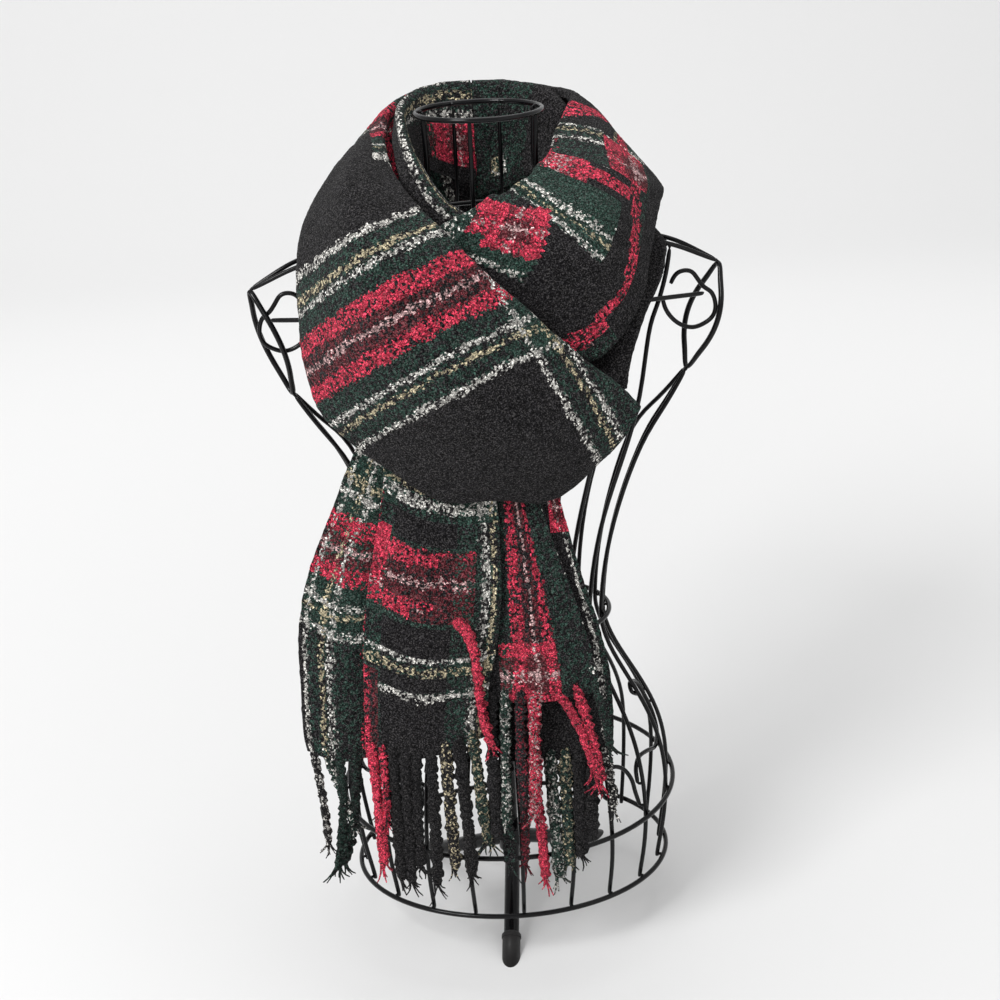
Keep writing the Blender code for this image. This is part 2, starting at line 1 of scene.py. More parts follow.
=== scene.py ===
"""Dresses the blanket scarf and the wire dress form that it is wound round.

The scarf is one fringed rectangle of boucle tartan.  Wound, it shows as four loops and four tails,
each laid on the rows of sections that its solid is made from.  The tartan is woven in the shader
from a map in millimetres, with one coordinate along the warp and one along the weft.  Lengths in
the tables are in millimetres and everything else is in metres.
"""
import logging
import math
from dataclasses import dataclass, field
from enum import Enum
from itertools import combinations

import bmesh
import bpy
import numpy as np
from bmesh.types import BMEdge, BMesh, BMVert
from bpy.types import ID, Material, Node, NodeSocket, NodeTree, Object
from mathutils import Matrix, Vector


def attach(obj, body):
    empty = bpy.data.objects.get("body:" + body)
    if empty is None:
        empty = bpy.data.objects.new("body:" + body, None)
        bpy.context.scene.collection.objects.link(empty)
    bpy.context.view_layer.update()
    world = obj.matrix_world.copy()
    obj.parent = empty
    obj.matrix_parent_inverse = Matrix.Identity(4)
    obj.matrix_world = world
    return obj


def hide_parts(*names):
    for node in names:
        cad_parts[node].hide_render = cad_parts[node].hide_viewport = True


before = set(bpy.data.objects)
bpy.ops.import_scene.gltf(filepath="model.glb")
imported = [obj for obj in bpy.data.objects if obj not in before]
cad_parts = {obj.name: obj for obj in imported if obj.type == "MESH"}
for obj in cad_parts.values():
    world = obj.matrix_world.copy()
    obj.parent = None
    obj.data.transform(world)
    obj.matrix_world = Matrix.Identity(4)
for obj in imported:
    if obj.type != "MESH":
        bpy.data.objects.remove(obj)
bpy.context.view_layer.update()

MM = 0.001
LOG = logging.getLogger("scarf")

Point = tuple[float, float, float]
Stops = tuple[float, ...]  # a share of a length, its millimetres on the tartan, the next share ...


# ------------------------------------------------------------------ dyes and sett


class Dye(Enum):
    """Yarn colours of the tartan: linear red, green and blue, and how strongly the yarn shows."""

    CHARCOAL = (0.019, 0.018, 0.020, 0.42)
    BOTTLE = (0.029, 0.066, 0.051, 0.50)
    CRIMSON = (0.80, 0.056, 0.112, 0.98)
    WINE = (0.24, 0.022, 0.040, 0.66)
    BARK = (0.17, 0.030, 0.040, 0.56)
    PINK = (0.76, 0.48, 0.48, 0.80)
    WHITE = (0.80, 0.78, 0.73, 0.74)
    CREAM = (0.66, 0.57, 0.38, 0.66)


# Where each stripe of the sett starts, in millimetres, and its dye.
SETT_LENGTH = 276.0
SETT: tuple[tuple[float, Dye], ...] = (
    (0, Dye.WHITE), (4.5, Dye.BOTTLE), (15.5, Dye.CREAM),
    (19.5, Dye.BOTTLE), (23.5, Dye.WHITE), (27.5, Dye.BOTTLE),
    (41.5, Dye.CRIMSON), (54, Dye.BARK), (62.5, Dye.PINK),
    (66, Dye.BARK), (74.5, Dye.CRIMSON), (87, Dye.BOTTLE),
    (101, Dye.WHITE), (105, Dye.BOTTLE), (109, Dye.CREAM),
    (113, Dye.BOTTLE), (124, Dye.WHITE), (128.5, Dye.CHARCOAL),
)


# ------------------------------------------------------------------ shader nodes


class Kind(Enum):
    """The kinds of socket that a shader group has."""

    VALUE = "NodeSocketFloat"
    PLACE = "NodeSocketVector"
    COLOUR = "NodeSocketColor"


class NodeBench:
    """Adds nodes to one node tree and joins their sockets."""

    def __init__(self, tree: NodeTree) -> None:
        """Keeps the tree to work on."""
        self.tree = tree

    def feed(self, node: Node, inputs: dict) -> None:
        """Links a node's inputs to the sockets that are given for them, or sets their values.

        Args:
            node: The node.
            inputs: Socket name or number to a value, or to a socket to link from.
        """
        for key, value in inputs.items():
            if isinstance(value, NodeSocket):
                self.tree.links.new(value, node.inputs[key])
            else:
                node.inputs[key].default_value = value

    def add(self, kind: str, inputs: dict | None = None, **settings: object) -> Node:
        """Adds a node.

        Args:
            kind: The node's type name without "ShaderNode".
            inputs: Socket name or number to a value, or to a socket to link from.
            settings: Properties of the node, set before its sockets.

        Returns:
            The new node.
        """
        node = self.tree.nodes.new("ShaderNode" + kind)
        for key, value in settings.items():
            setattr(node, key, value)
        self.feed(node, inputs or {})
        return node

    def math(self, operation: str, *values: object) -> NodeSocket:
        """Adds a Math node and returns its result."""
        return self.add("Math", dict(enumerate(values)), operation=operation).outputs[0]

    def shift(self, colour: NodeSocket, reach: float) -> NodeSocket:
        """Turns a random colour into a random shift of up to half the reach each way."""
        centred = self.add("VectorMath", {0: colour, 1: (0.5, 0.5, 0.5)}, operation="SUBTRACT")
        return self.add("VectorMath", {0: centred.outputs[0], "Scale": reach}, operation="SCALE").outputs[0]

    def move(self, place: NodeSocket, shift: NodeSocket) -> NodeSocket:
        """Adds a shift to a place."""
        return self.add("VectorMath", {0: place, 1: shift}, operation="ADD").outputs[0]

    def blend(self, share: object, first: object, second: object, mode: str = "MIX") -> NodeSocket:
        """Mixes two colours by the share of the second."""
        inputs = {0: share, 6: first, 7: second}
        return self.add("Mix", inputs, data_type="RGBA", blend_type=mode).outputs[2]

    def remap(self, value: NodeSocket, low: float, high: float, to_low: float, to_high: float) -> NodeSocket:
        """Maps a value smoothly from one range to another."""
        inputs = {"Value": value, "From Min": low, "From Max": high, "To Min": to_low, "To Max": to_high}
        return self.add("MapRange", inputs, interpolation_type="SMOOTHSTEP").outputs[0]

    def grey(self, light: NodeSocket) -> NodeSocket:
        """Turns a value into a grey."""
        return self.add("CombineColor", {0: light, 1: light, 2: light}).outputs[0]

    def bump(self, strength: float, distance: float, height: NodeSocket) -> NodeSocket:
        """Turns a height into a normal."""
        return self.add("Bump", {"Strength": strength, "Distance": distance, "Height": height}).outputs[0]


def new_group(name: str, inputs: dict, outputs: dict) -> tuple[NodeBench, list[NodeSocket], Node]:
    """Makes an empty shader group.

    Args:
        name: The group's name.
        inputs: Each input's name to its kind.
        outputs: Each output's name to its kind.

    Returns:
        The bench of the group's tree, the sockets that it is given and its output node.
    """
    tree = bpy.data.node_groups.new(name, "ShaderNodeTree")
    for way, sockets in (("INPUT", inputs), ("OUTPUT", outputs)):
        for label, kind in sockets.items():
            tree.interface.new_socket(label, in_out=way, socket_type=kind.value)
    given = tree.nodes.new("NodeGroupInput").outputs[: len(inputs)]
    return NodeBench(tree), given, tree.nodes.new("NodeGroupOutput")


def make_sett_group() -> NodeTree:
    """Makes the group that turns a place in millimetres into the sett's colour there.

    Returns:
        The group's tree.
    """
    outputs = {"Colour": Kind.COLOUR, "Pull": Kind.VALUE}
    bench, given, out = new_group("tartan_sett", {"Millimetres": Kind.VALUE}, outputs)
    place = bench.math("FRACT", bench.math("DIVIDE", given[0], SETT_LENGTH))
    ramp = bench.add("ValToRGB", {0: place})
    ramp.color_ramp.interpolation = "CONSTANT"
    stops = ramp.color_ramp.elements
    while len(stops) < len(SETT):
        stops.new(0.5)
    for stop, (start, dye) in zip(stops, SETT):
        stop.position = start / SETT_LENGTH
        stop.color = dye.value
    bench.feed(out, dict(enumerate(ramp.outputs)))
    return bench.tree


BENDS = 420.0  # bends of the knots' outlines across a metre
KNOT_TWIST = 2.6 * MM  # how far the knots' outlines are bent
KNOT_SLOPE = (0.0, 0.8, 1.0, 0.0)
CURLS = 1.8  # how many small curls of fibre a knot has across it
CURL_SLOPE = (0.1, 0.75, 1.0, 0.0)


def make_knot_group() -> NodeTree:
    """Makes the group of boucle knots: each cell is one loop of yarn that stands out.

    Returns:
        The group's tree.
    """
    outputs = {"Stray": Kind.PLACE} | dict.fromkeys(("Pick", "Tone", "Height", "Curl"), Kind.VALUE)
    bench, (place, size), out = new_group("boucle_knots", {"Vector": Kind.PLACE, "Size": Kind.VALUE}, outputs)
    scale = bench.math("DIVIDE", 1.0, size)
    bend = bench.add("TexNoise", {"Vector": place, "Scale": BENDS, "Detail": 2.0})
    bent = bench.move(place, bench.shift(bend.outputs["Color"], KNOT_TWIST))
    cells = bench.add("TexVoronoi", {"Vector": bent, "Scale": scale})
    curls = bench.add("TexVoronoi", {"Vector": bent, "Scale": bench.math("MULTIPLY", scale, CURLS)})
    split = bench.add("SeparateColor", {0: cells.outputs["Color"]})
    height = bench.remap(cells.outputs["Distance"], *KNOT_SLOPE)
    curl = bench.remap(curls.outputs["Distance"], *CURL_SLOPE)
    results = (cells.outputs["Color"], split.outputs[2], split.outputs[0], height, curl)
    bench.feed(out, dict(enumerate(results)))
    return bench.tree


def make_speck_group() -> NodeTree:
    """Makes the group of fine specks that every finish uses for its small unevenness.

    Returns:
        The group's tree.
    """
    inputs = {"Vector": Kind.PLACE, "Scale": Kind.VALUE, "Detail": Kind.VALUE}
    bench, given, out = new_group("fine_specks", inputs, {"Value": Kind.VALUE})
    bench.feed(out, {0: bench.add("TexNoise", dict(zip(inputs, given))).outputs[0]})
    return bench.tree


@dataclass
class Groups:
    """The shader groups that the finishes share."""

    sett: NodeTree = field(default_factory=make_sett_group)
    knots: NodeTree = field(default_factory=make_knot_group)
    specks: NodeTree = field(default_factory=make_speck_group)


def new_material(name: str) -> tuple[Material, NodeBench, Node, NodeSocket]:
    """Makes a material whose pattern follows the object.

    Args:
        name: The material's name.

    Returns:
        The material, its bench, its Principled BSDF and the place on the object.
    """
    made = bpy.data.materials.new(name)
    made.use_nodes = True
    bench = NodeBench(made.node_tree)
    place = bench.add("TexCoord").outputs["Object"]
    return made, bench, made.node_tree.nodes["Principled BSDF"], place


def speckle(bench: NodeBench, groups: Groups, place: NodeSocket, scale: float, detail: float) -> NodeSocket:
    """Places the fine specks in a material."""
    inputs = {"Vector": place, "Scale": scale, "Detail": detail}
    return bench.add("Group", inputs, node_tree=groups.specks).outputs[0]


# ------------------------------------------------------------------ finishes


@dataclass(frozen=True)
class Yarn:
    """The boucle yarn of the cloth and the tassels, whose knots stand out and catch the light."""

    name: str
    knot: float
    relief: float
    # painted shade: how dark the colour is painted in the gaps between the knots
    painted_gap_shade: float  # how dark the gaps between the knots are
    fibres: float = 900.0  # fibres across a metre
    fibre_tint: tuple[float, ...] = (0.42, 0.40, 0.39, 1.0)
    fibre_share: float = 0.13
    # Each maps a range of the knots' or the fibres' values to shades: the tones and the fuzz vary at random,
    # and the gaps and the curls are painted shade, dark between the knots and at the curls' edges and light on
    # the curls' tops.  The gaps' go up to 1.
    tones: tuple[float, ...] = (0.0, 1.0, 0.55, 1.6)
    gaps: tuple[float, ...] = (0.1, 0.8)
    curls: tuple[float, ...] = (0.1, 0.9, 0.42, 1.5)
    fuzz: tuple[float, ...] = (0.3, 0.7, 0.6, 1.45)
    loose: tuple[float, ...] = (0.50, 0.66, 0.0, 1.0)
    depth: float = 0.85

    def dyed(self, bench: NodeBench, groups: Groups, knots: Node) -> NodeSocket:
        """Gives the colour of the yarn that each knot shows."""
        raise NotImplementedError

    def make(self, groups: Groups) -> Material:
        """Makes the material: the dyed yarn, with painted shade between its knots, painted light and shade on
        its curls, and random tones by its knots and its fibres.

        Args:
            groups: The shared shader groups.

        Returns:
            The material.
        """
        made, bench, shader, place = new_material(self.name)
        knots = bench.add("Group", {"Vector": place, "Size": self.knot}, node_tree=groups.knots)
        height, curl = knots.outputs["Height"], knots.outputs["Curl"]
        fibre = speckle(bench, groups, place, self.fibres, 4.0)
        tone = bench.remap(knots.outputs["Tone"], *self.tones)
        # Painted shade: the gaps darken the colour between the knots, and the curls darken each curl's edge and
        # lighten its top.
        gaps = bench.remap(height, *self.gaps, self.painted_gap_shade, 1.0)
        curls = bench.remap(curl, *self.curls)
        fuzz = bench.remap(fibre, *self.fuzz)
        painted_and_random_shade = bench.math("MULTIPLY", bench.math("MULTIPLY", tone, gaps), bench.math("MULTIPLY", curls, fuzz))
        shaded = bench.blend(1.0, self.dyed(bench, groups, knots), bench.grey(painted_and_random_shade), "MULTIPLY")
        loose = bench.math("MULTIPLY", bench.remap(fibre, *self.loose), self.fibre_share)
        relief = bench.math("ADD", height, bench.math("ADD", curl, fibre))
        inputs = {
            "Base Color": bench.blend(loose, shaded, self.fibre_tint),
            "Roughness": 1.0,
            "Specular IOR Level": 0.06,
            "Sheen Weight": 0.04,
            "Sheen Roughness": 0.5,
            "Normal": bench.bump(self.depth, self.relief, relief),
        }
        bench.feed(shader, inputs)
        return made


@dataclass(frozen=True)
class BoucleTartan(Yarn):
    """Doubled boucle cloth whose knots show either the warp yarn or the weft yarn."""

    stray_scale: float = 0.09
    wander: float = 7.0  # how far a whole stripe strays, in millimetres
    ragged: float = 3.4  # how far single knots stray over a stripe's edge, in millimetres
    weft_lead: float = 0.05  # how much more often the weft shows than the warp

    def dyed(self, bench: NodeBench, groups: Groups, knots: Node) -> NodeSocket:
        """Picks warp or weft for each knot, by the piece's "weave" map.

        Args:
            bench: The material's bench.
            groups: The shared shader groups.
            knots: The node of the knots' group.

        Returns:
            The colour of the yarn that shows.
        """
        thread = bench.add("UVMap", uv_map="weave").outputs[0]
        stray = bench.add("TexNoise", {"Vector": thread, "Scale": self.stray_scale, "Detail": 2.0})
        thread = bench.move(thread, bench.shift(stray.outputs["Color"], self.wander))
        thread = bench.move(thread, bench.shift(knots.outputs["Stray"], self.ragged))
        split = bench.add("SeparateXYZ", {0: thread})
        warp, weft = (bench.add("Group", {0: split.outputs[k]}, node_tree=groups.sett).outputs for k in (0, 1))
        both = bench.math("ADD", warp["Pull"], weft["Pull"])
        share = bench.math("ADD", bench.math("DIVIDE", weft["Pull"], both), self.weft_lead)
        weft_shows = bench.math("LESS_THAN", knots.outputs["Pick"], share)
        return bench.blend(weft_shows, warp["Colour"], weft["Colour"])


YARN_LAYERS = ("dye", "fleck")  # the tassels' colour attributes


@dataclass(frozen=True)
class TwistedYarn(Yarn):
    """The tassels' yarn, dyed by the piece's "dye" and "fleck" attributes."""

    core_share: float = 0.10  # how many knots show the dark core yarn
    fleck_share: float = 0.26  # how many show the second colour

    def dyed(self, bench: NodeBench, groups: Groups, knots: Node) -> NodeSocket:
        """Picks the yarn, its flecks or its core for each knot.

        Args:
            bench: The material's bench.
            groups: The shared shader groups; not used.
            knots: The node of the knots' group.

        Returns:
            The colour of the yarn that shows.
        """
        dye, flecked = (bench.add("Attribute", attribute_name=name).outputs["Color"] for name in YARN_LAYERS)
        fleck = bench.math("GREATER_THAN", knots.outputs["Pick"], 1 - self.fleck_share)
        core = bench.math("LESS_THAN", knots.outputs["Pick"], self.core_share)
        return bench.blend(core, bench.blend(fleck, dye, flecked), (*Dye.CHARCOAL.value[:3], 1.0))


SPECK_RANGE = (0.25, 0.75)  # where most of the specks' values lie


@dataclass(frozen=True)
class Coating:
    """An even coating with slight unevenness: enamel or rubber."""

    name: str
    colour: tuple[float, float, float]
    roughness: float
    coat: float
    grain: float  # specks across a metre
    relief: float
    shine: float = 0.3
    spread: float = 0.18  # how far the colour and the roughness vary
    coat_roughness: float = 0.06
    depth: float = 0.5

    def make(self, groups: Groups) -> Material:
        """Makes the coating, whose colour, roughness and relief follow the specks.

        Args:
            groups: The shared shader groups.

        Returns:
            The material.
        """
        made, bench, shader, place = new_material(self.name)
        speck = speckle(bench, groups, place, self.grain, 2.0)
        low, high = 1 - self.spread, 1 + self.spread
        dark, light = ((*(share * part for part in self.colour), 1.0) for share in (low, high))
        inputs = {
            "Base Color": bench.blend(speck, dark, light),
            "Roughness": bench.remap(speck, *SPECK_RANGE, low * self.roughness, high * self.roughness),
            "Specular IOR Level": self.shine,
            "Coat Weight": self.coat,
            "Coat Roughness": self.coat_roughness,
            "Normal": bench.bump(self.depth, self.relief, speck),
        }
        bench.feed(shader, inputs)
        return made


@dataclass(frozen=True)
class PaleFloor:
    """The studio's paper floor, with painted shade: darker near the middle, under the form, where the lamps are
    near, so that their pool of light doesn't show.
    """

    # Painted shade: the grey rises from light's first value, at reach's first distance in metres, to its second
    # value at reach's second.
    reach: tuple[float, float] = (0.2, 2.4)
    light: tuple[float, float] = (0.69, 0.91)
    grain: float = 30.0
    roughness: tuple[float, float] = (0.88, 0.92)
    shine: float = 0.2

    def make(self, groups: Groups) -> Material:
        """Makes the paper, painted lighter the farther it lies from the middle, as painted shade against the
        lamps' pool of light.

        Args:
            groups: The shared shader groups.

        Returns:
            The material.
        """
        made, bench, shader, place = new_material("pale_floor")
        away = bench.add("VectorMath", {0: place}, operation="LENGTH").outputs["Value"]
        speck = speckle(bench, groups, place, self.grain, 2.0)
        inputs = {
            "Base Color": bench.grey(bench.remap(away, *self.reach, *self.light)),
            "Roughness": bench.remap(speck, *SPECK_RANGE, *self.roughness),
            "Specular IOR Level": self.shine,
        }
        bench.feed(shader, inputs)
        return made


BOUCLE = BoucleTartan("boucle_tartan", 1.85 * MM, 0.8 * MM, 0.5)
YARN = TwistedYarn("twisted_yarn", 1.6 * MM, 0.9 * MM, 0.55)
ENAMEL = Coating("black_enamel", (0.0025, 0.0025, 0.003), 0.19, 0.03, 260.0, 0.08 * MM, 0.22)
RUBBER = Coating("black_rubber", (0.014, 0.013, 0.013), 0.55, 0.0, 900.0, 0.12 * MM)


# ------------------------------------------------------------------ shapes


def smooth_rows(rows: np.ndarray, count: int) -> np.ndarray:
    """Reads evenly spread rows from the Catmull-Rom curve through the given rows.

    Args:
        rows: One row for each control section.
        count: How many rows to read.

    Returns:
        The rows that were read.
    """
    rows = np.asarray(rows, float)
    padded = np.concatenate([[2 * rows[0] - rows[1]], rows, [2 * rows[-1] - rows[-2]]])
    place = np.linspace(0, len(rows) - 1, count)
    first = np.minimum(place.astype(int), len(rows) - 2)
    t = (place - first)[:, None]
    before, start, end, after = (padded[first + k] for k in range(4))
    bend = 2 * before - 5 * start + 4 * end - after
    twist = 3 * start - before - 3 * end + after
    return 0.5 * (2 * start + (end - before) * t + bend * t**2 + twist * t**3)


def unit(ways: np.ndarray) -> np.ndarray:
    """Gives each direction a length of 1."""
    return ways / np.linalg.norm(ways, axis=-1, keepdims=True)


def run_along(points: np.ndarray) -> np.ndarray:
    """How far along a polyline each of its points lies."""
    return np.concatenate([[0.0], np.cumsum(np.linalg.norm(np.diff(points, axis=0), axis=1))])


def shares(points: np.ndarray) -> tuple[np.ndarray, np.ndarray]:
    """Each grid point's share of the stretch's length and of its width."""
    runs = (run_along(line) for line in (points[:, points.shape[1] // 2], points[len(points) // 2]))
    return np.meshgrid(*(run / run[-1] for run in runs), indexing="ij")


def read(stops: Stops, places: np.ndarray) -> np.ndarray:
    """Reads a list of stops at each place."""
    return np.interp(places, stops[::2], stops[1::2])


def place_object(name: str, data: ID) -> Object:
    """Adds an object to the scene.

    Args:
        name: The object's name.
        data: Its mesh, lamp or camera.

    Returns:
        The new object.
    """
    made = bpy.data.objects.new(name, data)
    bpy.context.scene.collection.objects.link(made)
    return made


def add_object(name: str, shape: BMesh, material: Material) -> Object:
    """Turns a bmesh into a smooth object at the origin.

    Args:
        name: The object's name.
        shape: The bmesh, which is freed.
        material: The object's material.

    Returns:
        The new object.
    """
    data = bpy.data.meshes.new(name)
    shape.to_mesh(data)
    shape.free()
    data.materials.append(material)
    data.shade_smooth()
    return place_object(name, data)


def add_piece(name: str, shape: BMesh, material: Material, slot: str, *nodes: str) -> Object:
    """Turns a bmesh into a piece that rides on the body.

    Args:
        name: The piece's name.
        shape: The bmesh, which is freed.
        material: The piece's material.
        slot: The name of a material slot; not used.
        nodes: The CAD nodes that it stands for.

    Returns:
        The new piece.
    """
    made = add_object(name, shape, material)
    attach(made, "root")
    if nodes:
        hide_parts(*nodes)
    LOG.info("%s: %d faces", name, len(made.data.polygons))
    return made


@dataclass(frozen=True)
class FlatWeave:
    """A weave that lies straight on a leaning plane and follows the band past a given row."""

    origin: tuple[float, float]  # where warp and weft both read 0, rightward and upward
    angles: tuple[float, float]  # degrees of the weft and the warp above the rightward line
    pitch: float  # how far the cloth is stretched
    until: float  # share of the length after which the weave follows the band
    selvage: float = 36.0  # the last warp yarn, in millimetres
    plane: tuple[Point, Point] = ((0.996, -0.077, -0.044), (0.069, 0.352, 0.933))  # rightward and upward
    lead: int = 8  # rows from which the band's own direction is read

    def lay(self, points: np.ndarray) -> tuple[np.ndarray, np.ndarray]:
        """Gives the weave's coordinates on a grid of points.

        Args:
            points: Grid of points in millimetres, along by across by 3.

        Returns:
            The coordinate along the weft yarns and the one along the warp yarns.
        """
        angles = np.radians(self.angles)
        yarns = np.array([np.cos(angles), np.sin(angles)])
        laid = (points @ np.transpose(self.plane) - self.origin) @ np.linalg.inv(yarns).T / self.pitch
        middle, last = points.shape[1] // 2, int(self.until * (len(points) - 1))
        run = run_along(points[:, middle])
        way = unit(laid[last, middle] - laid[last - self.lead, middle])
        beyond = np.maximum(0.0, run - run[last])[:, None, None] * way / self.pitch
        laid[last:] = laid[last] + beyond[last:]
        return np.minimum(laid[..., 0], self.selvage), laid[..., 1]


@dataclass(frozen=True)
class HungWeave:
    """A weave that follows a stretch of cloth, gathered as its lists of stops say."""

    along: Stops  # share of the length to millimetres along the warp
    across: Stops  # share of the width to millimetres along the weft
    sway: Stops = (0.0, 0.0, 1.0, 0.0)  # share of the length to how far the warp has moved in
    skew: float = 0.0  # how far the weft yarns lean, in shares of the length
    pivot: float = 0.4  # share of the width that doesn't lean

    def lay(self, points: np.ndarray) -> tuple[np.ndarray, np.ndarray]:
        """Gives the weave's coordinates on a grid of points.

        Args:
            points: Grid of points in millimetres, along by across by 3.

        Returns:
            The coordinate along the weft yarns and the one along the warp yarns.
        """
        run, width = shares(points)
        warp = read(self.along, run - self.skew * (width - self.pivot))
        return read(self.across, width + read(self.sway, run)), warp


@dataclass(frozen=True)
class Patch:
    """A place where another layer of the doubled cloth shows, with stops of its own."""

    along: Stops
    across: Stops
    lean: tuple[float, float] = (0.0, 0.0)  # how far each side leans towards the other

    def cover(self, points: np.ndarray, weft: np.ndarray, warp: np.ndarray) -> None:
        """Writes the patch's own coordinates over the weave's where the patch lies.

        Args:
            points: Grid of points in millimetres, along by across by 3.
            weft: The coordinate along the weft yarns, which is changed.
            warp: The coordinate along the warp yarns, which is changed.
        """
        run, width = shares(points)
        run, width = run + self.lean[0] * width, width + self.lean[1] * run
        inside = (run >= self.along[0]) & (run <= self.along[-2])
        inside &= (width >= self.across[0]) & (width <= self.across[-2])
        warp[inside] = read(self.along, run[inside])
        weft[inside] = read(self.across, width[inside])


@dataclass(frozen=True)
class Fold:
    """A soft ridge, or a valley where its height is below 0, across a stretch of cloth."""

    start: tuple[float, float]  # shares of the length and the width
    end: tuple[float, float]
    height: float
    width: float

    def lift(self, along: np.ndarray, across: np.ndarray, size: np.ndarray) -> np.ndarray:
        """How far the fold lifts each point.

        Args:
            along: Each point's share of the length.
            across: Each point's share of the width.
            size: The stretch's length and width in millimetres.

        Returns:
            The lift at each point in millimetres.
        """
        start, line = self.start * size, (np.array(self.end) - self.start) * size
        place = np.stack([along, across], -1) * size
        t = np.clip(((place - start) @ line) / (line @ line), 0.0, 1.0)
        away = np.linalg.norm(place - start - t[..., None] * line, axis=-1)
        return self.height * np.exp(-((away / self.width) ** 2))


@dataclass
class ClothStretch:
    """One stretch of the scarf that shows, as a shell of doubled boucle."""

    name: str
    rows: np.ndarray
    weave: FlatWeave | HungWeave
    cut: tuple[float, float]  # the flat width and length in metres
    rests_on: str
    thickness: float = 6.2
    lip: float = 0.0
    folds: tuple[Fold, ...] = ()
    patches: tuple[Patch, ...] = ()
    held: str = "draped"
    lip_turn: tuple[float, float] = (0.9, 0.35)  # how far a lip turns back and inward
    inside: tuple[float, float, float] = (0.0, 40.0, 560.0)  # the outer face looks away from here
    rough_grid: tuple[int, int] = (60, 24)  # the rows and columns that its size is measured on
    cell: float = 2.1
    fewest_cells: int = 8
    seam_jump: float = 6.0  # a cell whose corners lie farther apart in the weave is a seam
    rounding: float = 0.3  # how much of the thickness the edge's rounding takes
    sharp: float = 60.0  # degrees from which an edge is rounded
    # The size of the lumps of slack cloth and of knots, and how far they stand out, in metres.
    lumps: tuple[tuple[str, float, float], ...] = (("slack", 0.035, 2.0 * MM), ("knots", 0.0052, 1.3 * MM))

    def sections(self) -> np.ndarray:
        """Turns a lip back at each edge of the rows, so that the cloth ends in a fold.

        Returns:
            The rows of the stretch's sections, from edge to edge.
        """
        if not self.lip:
            return self.rows
        first, crown, last = self.rows.transpose(1, 0, 2)
        inward = unit(last - first)
        rise = crown - (first + last) / 2
        rise = rise - inward * (rise * inward).sum(axis=1, keepdims=True)
        back, inward = (turn * self.lip * way for turn, way in zip(self.lip_turn, (-unit(rise), inward)))
        return np.stack([first + back + inward, first, crown, last, last + back - inward], 1)

    def surface(self, along: int, across: int) -> np.ndarray:
        """Reads the cloth's middle surface.

        Args:
            along: How many points to read along it.
            across: How many points to read across it.

        Returns:
            Grid of points in millimetres.
        """
        sections = self.sections()
        width = sections.shape[1]
        flat = smooth_rows(sections.reshape(len(sections), -1), along).reshape(along, width, 3)
        turned = flat.transpose(1, 0, 2).reshape(width, -1)
        return smooth_rows(turned, across).reshape(across, along, 3).transpose(1, 0, 2)

    def size(self) -> np.ndarray:
        """The mean length and width of the surface in millimetres."""
        rough = self.surface(*self.rough_grid)
        return np.array([np.linalg.norm(np.diff(rough, axis=k), axis=2).sum(axis=k).mean() for k in (0, 1)])

    def folded(self, points: np.ndarray, size: np.ndarray) -> np.ndarray:
        """Lifts the surface along its outward normals by the folds.

        Args:
            points: Grid of points in millimetres, along by across by 3.
            size: The stretch's length and width in millimetres.

        Returns:
            The grid with its folds.
        """
        normal = unit(np.cross(np.gradient(points, axis=0), np.gradient(points, axis=1)))
        if ((points - self.inside) * normal).sum() < 0:
            normal = -normal
        shares_here = np.meshgrid(*(np.linspace(0, 1, count) for count in points.shape[:2]), indexing="ij")
        lift = sum((fold.lift(*shares_here, size) for fold in self.folds), np.zeros(points.shape[:2]))
        return points + normal * lift[..., None]

    def build(self, material: Material) -> None:
        """Builds the stretch.

        Args:
            material: The boucle tartan.
        """
        size = self.size()
        along, across = (max(self.fewest_cells, math.ceil(length / self.cell)) for length in size)
        points = self.folded(self.surface(along, across), size)
        weft, warp = self.weave.lay(points)
        for patch in self.patches:
            patch.cover(points, weft, warp)
        shape = bmesh.new()
        bmesh.ops.create_grid(shape, x_segments=across - 1, y_segments=along - 1, size=0.5)
        weave = shape.loops.layers.uv.new("weave")
        places = {}
        for vert in shape.verts:
            spot = round((vert.co.y + 0.5) * (along - 1)), round((vert.co.x + 0.5) * (across - 1))
            places[vert.index] = (weft[spot], warp[spot])
            vert.co = Vector(points[spot]) * MM
        for face in shape.faces:
            corners = [places[vert.index] for vert in face.verts]
            if np.ptp(corners, axis=0).max() > self.seam_jump:
                corners = [corners[0]] * len(corners)
            for loop, corner in zip(face.loops, corners):
                loop[weave].uv = corner
        shape.normal_update()
        inside = Vector(self.inside) * MM
        if sum(face.normal.dot(face.calc_center_median() - inside) for face in shape.faces) < 0:
            bmesh.ops.reverse_faces(shape, faces=shape.faces)
        made = add_piece("cloth_" + self.name, shape, material, "boucle_tartan", "scarf_" + self.name)
        self.finish(made)
        LOG.info("%s: %d by %d cells, %.0f by %.0f mm", made.name, along, across, *size)

    def finish(self, made: Object) -> None:
        """Gives the surface its thickness, its round edges and its lumps of yarn.

        Args:
            made: The piece.
        """
        wall = made.modifiers.new("wall", "SOLIDIFY")
        wall.thickness = self.thickness * MM
        wall.offset = 0
        edge = made.modifiers.new("edge", "BEVEL")
        edge.width = self.rounding * self.thickness * MM
        edge.segments = 2
        edge.limit_method = "ANGLE"
        edge.angle_limit = math.radians(self.sharp)
        for name, scale, strength in self.lumps:
            lumps = made.modifiers.new(name, "DISPLACE")
            lumps.texture = bpy.data.textures.get(name) or bpy.data.textures.new(name, "CLOUDS")
            lumps.texture.noise_scale = scale
            lumps.texture_coords = "LOCAL"
            lumps.strength = strength
            lumps.mid_level = 0.5


@dataclass
class Tail(ClothStretch):
    """A stretch that hangs, thinner than the loops."""

    thickness: float = 4.2
    held: str = "hung"


# ------------------------------------------------------------------ the cloth's stretches


def rows(*numbers: float) -> np.ndarray:
    """Sorts a table's numbers into rows of three points."""
    return np.array(numbers, float).reshape(-1, 3, 3)


